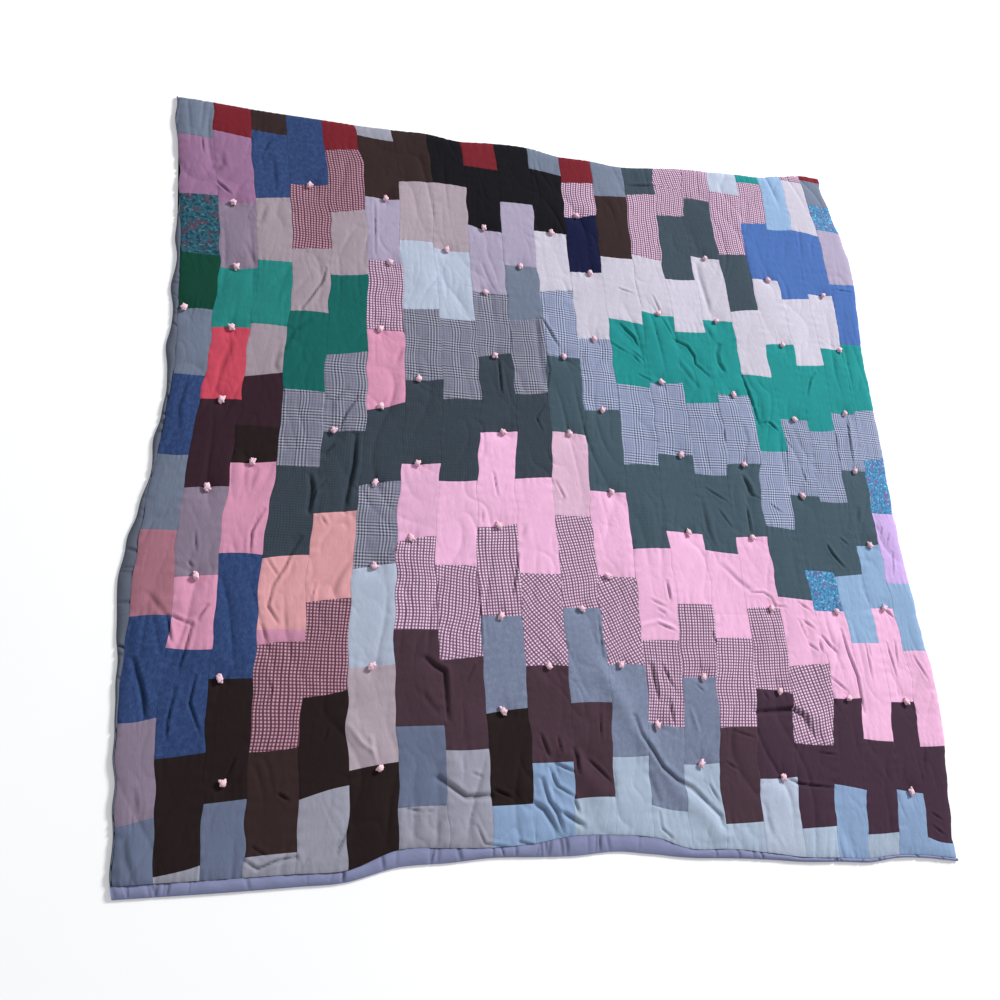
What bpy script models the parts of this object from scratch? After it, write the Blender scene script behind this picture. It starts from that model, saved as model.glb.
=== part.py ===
"""A tied patchwork quilt, spread on the floor with its face up.

Metres, +Z up. The quilt lies about square to X and Y, with its bottom edge towards -Y.
Its cloth body is one padded sheet of 21 pieced strips, each strip running down the quilt.
A rolled binding shows along its left edge and its bottom edge, and wool yarn is knotted
through the layers down every few strips. The underside rests flat at z = 0, and the origin
is under the middle of the quilt's box.

A place on the quilt is written as (across, down): across counts strips from the left edge,
so 2.5 is the middle of the third strip, and down is metres down the quilt from a straight
level line near its top.
"""
import math

import bmesh
import bpy
import numpy as np

# ---- driving sizes -----------------------------------------------------------------------
STRIP_COUNT = 21
STRIP_WIDTH = 0.0825
LOFT = 0.0072               # thickness of the filled cloth between its ties
TURNED_EDGE = 0.0036        # thickness where the cloth is turned in at the top and right
BOUND_EDGE = 0.0052         # thickness where the cloth enters the binding
EDGE_REACH = 0.022          # how far in from an edge the filling thins
SEAM_DITCH = 0.0010         # depth of the ditch along a strip seam
TIE_DIMPLE = 0.0034         # how far a tie pulls the face down
TIE_REACH = 0.020
ROLL_RISE = 0.0009          # slow unevenness of the filling
ROLL_LENGTH = 0.31
THINNEST = 0.0026
GAP = 0.0003                # clearance between separate pieces

CELLS_PER_STRIP = 4
CELLS_DOWN = 58
BINDING_CELLS = 3
BINDING_LOFT = 0.0068
BINDING_LIP = 0.0032        # height of the binding's outer lip
BINDING_PUCKER = 0.0007
BINDING_PUCKER_PITCH = 0.058

KNOT_LENGTH = 0.021
KNOT_WIDTH = 0.015
KNOT_HEIGHT = 0.0080
KNOT_WAIST = 0.75           # width at the knot's tight middle, as a share of its full width
KNOT_TURN = math.radians(137.5)
TIE_STEP = 0.12             # how far one mark moves a tie off its strip's middle, in strips

# ---- the quilt's edges, by strip: metres down, and the binding's depth at the bottom ------
EDGE_COLUMNS = ("across", "top", "bottom", "binding")
EDGES = (
    (0, -0.120, 1.490, 0.020),
    (4, -0.125, 1.492, 0.020),
    (5, -0.127, 1.491, 0.019),
    (6, -0.133, 1.474, 0.028),
    (7, -0.140, 1.473, 0.024),
    (8, -0.133, 1.470, 0.017),
    (9, -0.147, 1.474, 0.023),
    (10, -0.154, 1.477, 0.034),
    (11, -0.143, 1.475, 0.029),
    (12, -0.146, 1.485, 0.030),
    (13, -0.146, 1.496, 0.016),
    (14, -0.161, 1.502, 0.017),
    (15, -0.174, 1.510, 0.013),
    (16, -0.182, 1.520, 0.009),
    (17, -0.191, 1.525, 0.008),
    (18, -0.194, 1.531, 0.008),
    (19, -0.210, 1.527, 0.006),
    (20, -0.227, 1.533, 0.006),
    (21, -0.232, 1.543, 0.006),
)

# ---- the left binding: metres down, visible width -----------------------------------------
LEFT_BINDING_COLUMNS = ("down", "width")
LEFT_BINDING = (
    (-0.12, 0.003),
    (0.18, 0.003),
    (0.25, 0.011),
    (0.30, 0.006),
    (0.36, 0.015),
    (0.44, 0.009),
    (0.50, 0.019),
    (0.58, 0.010),
    (0.65, 0.008),
    (0.70, 0.013),
    (0.77, 0.004),
    (0.85, 0.012),
    (0.91, 0.020),
    (1.04, 0.020),
    (1.10, 0.011),
    (1.22, 0.005),
    (1.50, 0.004),
)

# ---- how the strips drift sideways as the quilt lies: millimetres right, by strip seam ----
DRIFT_SEAMS = (0, 1, 3, 5, 7, 11, 14, 16, 17, 19, 21)
DRIFT = (
    # down,  0,   1,   3,   5,   7,  11,  14,  16,  17,  19,  21
    (-0.20, -10, -20, -35, -45, -35, -20, 2, -3, 5, -19, -52),
    (0.00, 5, -4, -11, -10, -12, -13, -6, -10, -6, -8, -12),
    (0.15, 20, 16, 4, 0, -13, -12, -5, -3, -1, -5, -8),
    (0.30, 35, 30, 11, 6, -4, -8, 5, 5, 6, 6, -23),
    (0.45, 42, 26, 6, 4, 3, -4, 5, 15, 12, 5, -27),
    (0.60, 44, 16, 3, 8, 3, -3, 11, 27, 18, 2, -27),
    (0.75, 30, 4, -2, -1, -8, -7, 7, 9, 7, -4, -35),
    (0.90, 18, -4, -14, -12, -16, -3, 10, 9, 7, 3, -35),
    (1.05, 14, 1, -18, -16, -13, -2, 11, 15, 24, 9, -30),
    (1.20, 15, -6, -16, -19, -8, 3, -4, 9, 30, 10, -17),
    (1.35, 26, 4, -18, -11, -1, -5, -21, -10, -2, -10, -36),
    (1.50, 38, 15, -14, -15, 0, -10, -22, -17, -20, -38, -58),
)

# ---- main folds: millimetres of rise (a trough is below 0), half width, and the route -----
FOLD_COLUMNS = ("rise", "half_width", "route")
FOLDS = (
    (5.0, 20, ((10.9, 1.15), (11.7, 1.26), (12.2, 1.31), (12.8, 1.38), (13.4, 1.41), (13.8, 1.45))),
    (-3.0, 13, ((11.6, 1.23), (12.0, 1.28), (12.6, 1.34), (13.2, 1.37), (13.8, 1.41), (13.9, 1.44))),
    (3.4, 20, ((15.0, 1.20), (15.6, 1.20), (16.2, 1.21), (16.6, 1.25), (16.8, 1.29))),
    (-2.6, 13, ((15.0, 1.23), (16.0, 1.23), (16.4, 1.26), (16.6, 1.28))),
    (-2.0, 14, ((15.8, 1.37), (16.4, 1.38), (17.0, 1.385))),
    (3.0, 20, ((5.1, 1.23), (5.4, 1.27), (5.65, 1.31))),
    (-2.6, 13, ((6.7, 1.12), (7.0, 1.14), (7.1, 1.18), (7.1, 1.22))),
    (-2.4, 13, ((6.8, 1.33), (7.2, 1.355), (7.7, 1.365), (8.5, 1.37))),
    (3.2, 20, ((9.6, 1.28), (10.2, 1.33), (10.6, 1.37))),
    (-2.6, 13, ((9.0, 1.38), (9.4, 1.41), (9.6, 1.44))),
    (-2.2, 13, ((10.1, 1.29), (10.6, 1.325), (10.9, 1.35))),
    (-2.4, 14, ((17.7, 1.05), (17.8, 1.11), (18.0, 1.17), (18.1, 1.23))),
    (-2.2, 14, ((17.0, 1.07), (17.4, 1.10))),
    (-2.4, 14, ((1.0, 1.04), (1.5, 1.05), (1.4, 1.10), (1.3, 1.13))),
    (-2.2, 14, ((0.2, 1.11), (0.4, 1.15), (0.7, 1.21))),
    (-2.4, 14, ((3.7, 0.90), (3.3, 0.98), (3.2, 1.02), (3.4, 1.05))),
    (-2.2, 13, ((4.7, 0.58), (4.4, 0.65), (4.1, 0.71))),
    (-2.2, 13, ((4.8, 0.67), (4.7, 0.83))),
    (-2.2, 14, ((3.9, 0.76), (3.9, 0.83))),
    (-2.2, 14, ((14.0, 0.36), (14.5, 0.40), (14.9, 0.45))),
    (-2.4, 13, ((15.4, 0.36), (15.3, 0.42))),
    (-2.2, 13, ((12.2, 0.33), (12.8, 0.39))),
    (-2.2, 13, ((16.0, 0.43), (16.1, 0.56))),
    (-2.0, 13, ((15.2, 0.13), (15.3, 0.26))),
    (-2.0, 13, ((9.8, 0.36), (10.0, 0.51))),
    (-2.4, 13, ((15.6, 0.70), (15.5, 0.83))),
)

# ---- yarn ties by strip: the row seams that they hold, in centimetres down -----------------
# Each < or > after a seam moves its tie one step to the left or right.
TIES = {
    1: "41.4<<<",
    2: "14.3< 30.5< 44.9 61.2 79.6 96.7",
    3: "73.9 115.0<< 132.4",
    4: "6.7",
    5: "66.0<<",
    6: "7.3> 24.4> 41.6< 59.7< 76.9< 94.0 113.0 131.0>",
    7: "52.7< 72.0< 88.0<",
    8: "18.8<",
    9: "11.4 28.9< 45.0 63.6> 84.7 103.4 121.5<",
    10: "20.7 113.2",
    11: "9.8 43.7 62.7 101.6",
    12: "3.7< 19.7> 38.0 56.3 75.8> 94.6<< 113.1<",
    13: "125.0<<",
    14: "29.0 47.5< 65.8> 84.4> 115.7> 132.6",
    16: "10.4 28.8 49.1 67.1 84.8 101.0>> 118.8> 136.0>",
    18: "14.5> 33.5> 54.2 73.9< 101.4>> 120.5",
    20: "16.8> 32.8>>> 51.2 66.7 85.5 100.6 121.5> 140.1",
}
KNOTTED_STRIPS = (2, 6, 9, 12, 14, 16, 18, 20)  # the strips whose knots are pieces here

MATERIALS = {
    "pieced_cloth": ((0.33, 0.27, 0.34, 1.0), 0.92),
    "binding_cloth": ((0.24, 0.27, 0.42, 1.0), 0.9),
    "wool_yarn": ((0.80, 0.50, 0.62, 1.0), 0.95),
}


# ---- smooth tables -----------------------------------------------------------------------
def smooth(stations, values, places):
    """A smooth curve through a table's values, read at the given places."""
    stations = np.asarray(stations, float)
    values = np.asarray(values, float)
    slopes = np.gradient(values, stations)
    places = np.clip(places, stations[0], stations[-1])
    span = np.clip(np.searchsorted(stations, places, side="right") - 1, 0, len(stations) - 2)
    step = stations[span + 1] - stations[span]
    t = (places - stations[span]) / step
    rise = values[span + 1] - values[span]
    low = slopes[span] * step
    high = slopes[span + 1] * step
    return values[span] + low * t + (3 * rise - 2 * low - high) * t**2 + (low + high - 2 * rise) * t**3


def column(rows, names, name):
    """One named column of a table."""
    return [row[names.index(name)] for row in rows]


def edge(name, across):
    """An edge's place down the quilt, or the binding's depth, at a place across it."""
    return smooth(column(EDGES, EDGE_COLUMNS, "across"), column(EDGES, EDGE_COLUMNS, name), across)


def left_binding_width(down):
    """Visible width of the left binding."""
    stations = column(LEFT_BINDING, LEFT_BINDING_COLUMNS, "down")
    return smooth(stations, column(LEFT_BINDING, LEFT_BINDING_COLUMNS, "width"), down)


def drift(across, down):
    """How far right the cloth lies of its straight place, in metres."""
    stations = [row[0] for row in DRIFT]
    by_seam = np.array([smooth(stations, [row[1 + i] for row in DRIFT], down)
                        for i in range(len(DRIFT_SEAMS))])
    seams = np.array(DRIFT_SEAMS, float)
    place = np.clip(across, 0, STRIP_COUNT)
    span = np.clip(np.searchsorted(seams, place, side="right") - 1, 0, len(seams) - 2)
    t = (place - seams[span]) / (seams[span + 1] - seams[span])
    ease = t * t * (3 - 2 * t)
    pick = np.arange(by_seam.shape[1])
    return 0.001 * (by_seam[span, pick] * (1 - ease) + by_seam[span + 1, pick] * ease)


def floor_place(across, down):
    """Where a place on the quilt lies on the floor, before the box is centred."""
    across, down = np.broadcast_arrays(np.asarray(across, float), np.asarray(down, float))
    shift = drift(across.ravel(), down.ravel()).reshape(across.shape)
    return across * STRIP_WIDTH + shift, -down


def tie_places(strip):
    """Where a strip's ties are: each on its seam, its marks' steps off the strip's middle."""
    places = []
    for entry in TIES[strip].split():
        seam = float(entry.rstrip("<>"))
        steps = entry.count(">") - entry.count("<")
        places.append((strip - 0.5 + steps * TIE_STEP, 0.01 * seam))
    return places


# ---- the face's relief ---------------------------------------------------------------------
def route_distance(route, x, y):
    """Distance on the floor from each place to a fold's route."""
    corners = [floor_place(*corner) for corner in route]
    nearest = np.full(x.shape, np.inf)
    for (ax, ay), (bx, by) in zip(corners, corners[1:]):
        dx, dy = bx - ax, by - ay
        t = np.clip(((x - ax) * dx + (y - ay) * dy) / (dx * dx + dy * dy), 0, 1)
        nearest = np.minimum(nearest, np.hypot(x - ax - t * dx, y - ay - t * dy))
    return nearest


def thinning(distance, edge_height):
    """Height lost near an edge, where the filling thins to the edge's own height."""
    t = np.clip(distance / EDGE_REACH, 0, 1)
    return (LOFT - edge_height) * (1 - t) ** 2


def face_height(across, down):
    """Height of the quilt's face above the floor."""
    x, y = floor_place(across, down)
    height = LOFT + ROLL_RISE * (np.sin(2 * math.pi * (x + 0.4 * y) / ROLL_LENGTH)
                                 + np.cos(2 * math.pi * (y - 0.3 * x) / ROLL_LENGTH))
    for fold in FOLDS:
        rise, half_width, route = (fold[FOLD_COLUMNS.index(name)] for name in FOLD_COLUMNS)
        height += 0.001 * rise * np.exp(-(route_distance(route, x, y) / (0.001 * half_width)) ** 2)
    for strip in TIES:
        for place in tie_places(strip):
            tie_x, tie_y = floor_place(*place)
            height -= TIE_DIMPLE * np.exp(-((x - tie_x) ** 2 + (y - tie_y) ** 2) / TIE_REACH**2)
    height -= SEAM_DITCH * (np.abs(across - np.round(across)) < 0.5 / CELLS_PER_STRIP)
    height -= thinning(across * STRIP_WIDTH, BOUND_EDGE)
    height -= thinning((STRIP_COUNT - across) * STRIP_WIDTH, TURNED_EDGE)
    height -= thinning(down - edge("top", across), TURNED_EDGE)
    height -= thinning(edge("bottom", across) - edge("binding", across) - down, BOUND_EDGE)
    return np.maximum(height, THINNEST)


def binding_height(share, along):
    """Height of a binding: share runs from its seam, 0, to its outer lip, 1."""
    crown = np.sin(math.pi * (0.28 + 0.72 * share) * 0.999)
    pucker = BINDING_PUCKER * np.sin(2 * math.pi * along / BINDING_PUCKER_PITCH)
    return BINDING_LIP + (BINDING_LOFT - BINDING_LIP) * crown + pucker * (1 - share)


# ---- pieces --------------------------------------------------------------------------------
def fresh_material(name):
    """A plain material in a piece's own colour."""
    colour, roughness = MATERIALS[name]
    material = bpy.data.materials.new(name)
    material.use_nodes = True
    shader = material.node_tree.nodes["Principled BSDF"]
    shader.inputs["Base Color"].default_value = colour
    shader.inputs["Roughness"].default_value = roughness
    return material


def add_piece(name, shape, material, collection):
    """Put a finished shape in the scene as one named object."""
    mesh = bpy.data.meshes.new(name)
    shape.to_mesh(mesh)
    shape.free()
    mesh.materials.append(material)
    mesh.shade_smooth()
    piece = bpy.data.objects.new(name, mesh)
    collection.objects.link(piece)
    return piece


def padded_sheet(cells_x, cells_y, place):
    """A closed sheet with a flat underside: place turns shares of 0 to 1 into x, y and height."""
    shape = bmesh.new()
    bmesh.ops.create_grid(shape, x_segments=cells_x, y_segments=cells_y, size=0.5)
    shares = np.array([vertex.co for vertex in shape.verts])
    x, y, height = place(shares[:, 0] + 0.5, shares[:, 1] + 0.5)
    under = bmesh.ops.extrude_face_region(shape, geom=shape.faces[:])
    raised = [item for item in under["geom"] if isinstance(item, bmesh.types.BMVert)]
    tops = {tuple(vertex.co): vertex for vertex in raised}
    for vertex, share, px, py, pz in zip(list(shape.verts), shares, x, y, height):
        top = tops[tuple(vertex.co)]
        vertex.co = (px, py, 0.0)
        top.co = (px, py, pz)
    bmesh.ops.recalc_face_normals(shape, faces=shape.faces[:])
    return shape


def place_body(share_x, share_y):
    """The pieced cloth, from its left edge to its right and from its bottom to its top."""
    across = share_x * STRIP_COUNT
    low = edge("bottom", across) - edge("binding", across)
    down = low + share_y * (edge("top", across) - low)
    x, y = floor_place(across, down)
    return x, y, face_height(across, down)


def place_left_binding(share_x, share_y):
    """The left binding, from its lip to the cloth's edge and from its bottom to its top."""
    zero = np.zeros_like(share_x)
    low = edge("bottom", zero) - edge("binding", zero)
    down = low + share_y * (edge("top", zero) - low)
    seam_x, y = floor_place(zero, down)
    outward = 1 - share_x
    return seam_x - GAP - outward * left_binding_width(down), y, binding_height(outward, down)


def place_bottom_binding(share_x, share_y):
    """The bottom binding, from the left lip to the right edge and from its lip to its seam."""
    corner = -(left_binding_width(1.5) + GAP) / STRIP_WIDTH
    # After its first cell, the corner, the binding has the body's own cells along their seam.
    station = share_x * (STRIP_COUNT * CELLS_PER_STRIP + 1)
    across = np.where(station < 0.5, corner, (station - 1) / CELLS_PER_STRIP)
    inside = np.maximum(across, 0)
    low = edge("bottom", inside)
    outward = 1 - share_y
    depth = edge("binding", inside)
    down = low - (1 - outward) * (depth - GAP)
    x, y = floor_place(across, down)
    return x, y, binding_height(outward, x)


def knot_shape():
    """One yarn knot: two short tufts with a tight waist between them, flat underneath."""
    shape = bmesh.new()
    bmesh.ops.create_uvsphere(shape, u_segments=8, v_segments=6, radius=0.5)
    for vertex in shape.verts:
        x, y, z = vertex.co
        width = KNOT_WIDTH * (KNOT_WAIST + (1 - KNOT_WAIST) * min(1.0, abs(x) / 0.3))
        height = KNOT_HEIGHT * (1.0 if z > 0 else 0.2)
        vertex.co = (x * KNOT_LENGTH, y * width, z * height)
    bmesh.ops.recalc_face_normals(shape, faces=shape.faces[:])
    return shape


def knot_seat(surface, x, y):
    """Height of the face under a knot: its highest point within the knot's reach."""
    reach = 0.5 * KNOT_LENGTH
    highest = 0.0
    for ring in (0.0, 0.5, 1.0):
        for turn in range(12):
            angle = turn * math.pi / 6
            start = (x + ring * reach * math.cos(angle), y + ring * reach * math.sin(angle), 1.0)
            hit, point, _, _ = surface.ray_cast(start, (0.0, 0.0, -1.0))
            if hit:
                highest = max(highest, point.z)
    return highest


def add_knots(body, material, collection):
    """A knot on the cloth at each tie of the knotted strips, each turned its own way."""
    knots = []
    for strip in KNOTTED_STRIPS:
        for number, place in enumerate(tie_places(strip), start=1):
            x, y = (float(value) for value in floor_place(*place))
            shape = knot_shape()
            lowest = min(vertex.co.z for vertex in shape.verts)
            knot = add_piece(f"tie_{strip:02d}_{number}", shape, material, collection)
            knot.location = (x, y, knot_seat(body, x, y) + GAP - lowest)
            knot.rotation_euler = (0.0, 0.0, len(knots) * KNOT_TURN)
            knots.append(knot)
    return knots


def centre(pieces, cloth):
    """Move every piece so that the cloth's box is centred over the origin."""
    corners = np.array([piece.matrix_world @ vertex.co for piece in cloth for vertex in piece.data.vertices])
    middle = 0.5 * (corners.min(axis=0) + corners.max(axis=0))
    for piece in pieces:
        piece.location.x -= middle[0]
        piece.location.y -= middle[1]


def main():
    """Build the quilt."""
    for leftover in list(bpy.data.objects):
        bpy.data.objects.remove(leftover, do_unlink=True)
    collection = bpy.data.collections.new("patchwork_quilt")
    bpy.context.scene.collection.children.link(collection)
    cloth, binding_cloth, yarn = (fresh_material(name) for name in MATERIALS)

    body_shape = padded_sheet(STRIP_COUNT * CELLS_PER_STRIP, CELLS_DOWN, place_body)
    body = add_piece("pieced_cloth", body_shape, cloth, collection)
    left_shape = padded_sheet(BINDING_CELLS, CELLS_DOWN, place_left_binding)
    left = add_piece("binding_left", left_shape, binding_cloth, collection)
    bottom_shape = padded_sheet(STRIP_COUNT * CELLS_PER_STRIP + 1, BINDING_CELLS, place_bottom_binding)
    bottom = add_piece("binding_bottom", bottom_shape, binding_cloth, collection)
    knots = add_knots(body, yarn, collection)
    centre([body, left, bottom, *knots], [body, left, bottom])


main()
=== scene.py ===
"""The looks of a tied patchwork quilt, spread face up on a pale floor.

Metres, +Z up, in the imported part's own frame. The quilt's 21 strips are sewn from the
cutting list below and lie in the same soft folds as the part's padded sheet. A place on the
quilt is written as (across, down): across counts strips from the left edge, and down is
metres down the quilt from a straight level line near its top.
"""
import logging
import math
from collections.abc import Callable
from dataclasses import dataclass, field
from enum import Enum

import bpy
import numpy as np
from mathutils import Matrix, Vector


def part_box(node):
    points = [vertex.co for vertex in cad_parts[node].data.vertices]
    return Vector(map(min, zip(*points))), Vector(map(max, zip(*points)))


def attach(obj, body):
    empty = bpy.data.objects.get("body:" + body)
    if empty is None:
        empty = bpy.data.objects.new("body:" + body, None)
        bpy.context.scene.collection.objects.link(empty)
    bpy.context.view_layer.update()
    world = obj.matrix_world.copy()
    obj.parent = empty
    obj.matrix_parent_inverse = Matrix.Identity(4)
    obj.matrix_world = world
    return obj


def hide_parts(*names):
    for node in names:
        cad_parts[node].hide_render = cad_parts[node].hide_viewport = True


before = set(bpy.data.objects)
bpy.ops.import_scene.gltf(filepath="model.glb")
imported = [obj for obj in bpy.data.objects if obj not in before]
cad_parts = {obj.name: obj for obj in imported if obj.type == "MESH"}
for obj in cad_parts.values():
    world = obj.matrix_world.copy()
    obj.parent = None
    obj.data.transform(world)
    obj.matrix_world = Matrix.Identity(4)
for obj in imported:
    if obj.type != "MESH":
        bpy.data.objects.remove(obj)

LOG = logging.getLogger("quilt")
BODY = "root"
GRAIN_MAP = "grain"         # a UV map in metres of flat cloth, along and across its threads
LOT_MAP = "lot"             # a UV map: a patch's own shade, and painted shade along its seams and sharp creases
OWN_SHADE = 0.5             # in the lot map, the shade of the bolt itself
MILLIMETRE = 0.001
CENTIMETRE = 0.01
FAR_RIGHT = (0.6, 0.8)      # a level direction, towards the quilt's right and its top
SHARP_FOLD = math.radians(55)

Route = tuple[tuple[float, float], ...]
Colour = tuple[int, int, int]


# ---- the quilt's layout --------------------------------------------------------------------
# The edges by strip: metres down, and the binding's depth at the bottom.
EDGE_COLUMNS = ("across", "top", "bottom", "binding")
EDGES = (
    (0, -0.120, 1.490, 0.020),
    (4, -0.125, 1.492, 0.020),
    (5, -0.127, 1.491, 0.019),
    (6, -0.133, 1.474, 0.028),
    (7, -0.140, 1.473, 0.024),
    (8, -0.133, 1.470, 0.017),
    (9, -0.147, 1.474, 0.023),
    (10, -0.154, 1.477, 0.034),
    (11, -0.143, 1.475, 0.029),
    (12, -0.146, 1.485, 0.030),
    (13, -0.146, 1.496, 0.016),
    (14, -0.161, 1.502, 0.017),
    (15, -0.174, 1.510, 0.013),
    (16, -0.182, 1.520, 0.009),
    (17, -0.191, 1.525, 0.008),
    (18, -0.194, 1.531, 0.008),
    (19, -0.210, 1.527, 0.006),
    (20, -0.227, 1.533, 0.006),
    (21, -0.232, 1.543, 0.006),
)

# The left binding: metres down, and how much of it shows.
LEFT_BINDING = (
    (-0.12, 0.003),
    (0.18, 0.003),
    (0.25, 0.011),
    (0.30, 0.006),
    (0.36, 0.015),
    (0.44, 0.009),
    (0.50, 0.019),
    (0.58, 0.010),
    (0.65, 0.008),
    (0.70, 0.013),
    (0.77, 0.004),
    (0.85, 0.012),
    (0.91, 0.020),
    (1.04, 0.020),
    (1.10, 0.011),
    (1.22, 0.005),
    (1.50, 0.004),
)

# How far right the strips drift as the quilt lies, in millimetres, by strip seam.
DRIFT_SEAMS = (0, 1, 3, 5, 7, 11, 14, 16, 17, 19, 21)
DRIFT = (
    # down,  0,   1,   3,   5,   7,  11,  14,  16,  17,  19,  21
    (-0.20, -10, -20, -35, -45, -35, -20, 2, -3, 5, -19, -52),
    (0.00, 5, -4, -11, -10, -12, -13, -6, -10, -6, -8, -12),
    (0.15, 20, 16, 4, 0, -13, -12, -5, -3, -1, -5, -8),
    (0.30, 35, 30, 11, 6, -4, -8, 5, 5, 6, 6, -23),
    (0.45, 42, 26, 6, 4, 3, -4, 5, 15, 12, 5, -27),
    (0.60, 44, 16, 3, 8, 3, -3, 11, 27, 18, 2, -27),
    (0.75, 30, 4, -2, -1, -8, -7, 7, 9, 7, -4, -35),
    (0.90, 18, -4, -14, -12, -16, -3, 10, 9, 7, 3, -35),
    (1.05, 14, 1, -18, -16, -13, -2, 11, 15, 24, 9, -30),
    (1.20, 15, -6, -16, -19, -8, 3, -4, 9, 30, 10, -17),
    (1.35, 26, 4, -18, -11, -1, -5, -21, -10, -2, -10, -36),
    (1.50, 38, 15, -14, -15, 0, -10, -22, -17, -20, -38, -58),
)

# The main folds: millimetres of rise (a trough is below 0), half width, and the route.
FOLDS = (
    (5.0, 20, ((10.9, 1.15), (11.7, 1.26), (12.2, 1.31), (12.8, 1.38), (13.4, 1.41), (13.8, 1.45))),
    (-3.0, 13, ((11.6, 1.23), (12.0, 1.28), (12.6, 1.34), (13.2, 1.37), (13.8, 1.41), (13.9, 1.44))),
    (3.4, 20, ((15.0, 1.20), (15.6, 1.20), (16.2, 1.21), (16.6, 1.25), (16.8, 1.29))),
    (-2.6, 13, ((15.0, 1.23), (16.0, 1.23), (16.4, 1.26), (16.6, 1.28))),
    (-2.0, 14, ((15.8, 1.37), (16.4, 1.38), (17.0, 1.385))),
    (3.0, 20, ((5.1, 1.23), (5.4, 1.27), (5.65, 1.31))),
    (-2.6, 13, ((6.7, 1.12), (7.0, 1.14), (7.1, 1.18), (7.1, 1.22))),
    (-2.4, 13, ((6.8, 1.33), (7.2, 1.355), (7.7, 1.365), (8.5, 1.37))),
    (3.2, 20, ((9.6, 1.28), (10.2, 1.33), (10.6, 1.37))),
    (-2.6, 13, ((9.0, 1.38), (9.4, 1.41), (9.6, 1.44))),
    (-2.2, 13, ((10.1, 1.29), (10.6, 1.325), (10.9, 1.35))),
    (-2.4, 14, ((17.7, 1.05), (17.8, 1.11), (18.0, 1.17), (18.1, 1.23))),
    (-2.2, 14, ((17.0, 1.07), (17.4, 1.10))),
    (-2.4, 14, ((1.0, 1.04), (1.5, 1.05), (1.4, 1.10), (1.3, 1.13))),
    (-2.2, 14, ((0.2, 1.11), (0.4, 1.15), (0.7, 1.21))),
    (-2.4, 14, ((3.7, 0.90), (3.3, 0.98), (3.2, 1.02), (3.4, 1.05))),
    (-2.2, 13, ((4.7, 0.58), (4.4, 0.65), (4.1, 0.71))),
    (-2.2, 13, ((4.8, 0.67), (4.7, 0.83))),
    (-2.2, 14, ((3.9, 0.76), (3.9, 0.83))),
    (-2.2, 14, ((14.0, 0.36), (14.5, 0.40), (14.9, 0.45))),
    (-2.4, 13, ((15.4, 0.36), (15.3, 0.42))),
    (-2.2, 13, ((12.2, 0.33), (12.8, 0.39))),
    (-2.2, 13, ((16.0, 0.43), (16.1, 0.56))),
    (-2.0, 13, ((15.2, 0.13), (15.3, 0.26))),
    (-2.0, 13, ((9.8, 0.36), (10.0, 0.51))),
    (-2.4, 13, ((15.6, 0.70), (15.5, 0.83))),
)

# The creases by kind: how deep and how wide each kind is, in millimetres (a ridge stands up).
CREASE_KINDS = {"deep": (4.6, 4.2), "sharp": (3.2, 2.7), "thin": (2.0, 2.4), "soft": (1.7, 5.5),
                "ridge": (-1.8, 4.0)}

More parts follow.
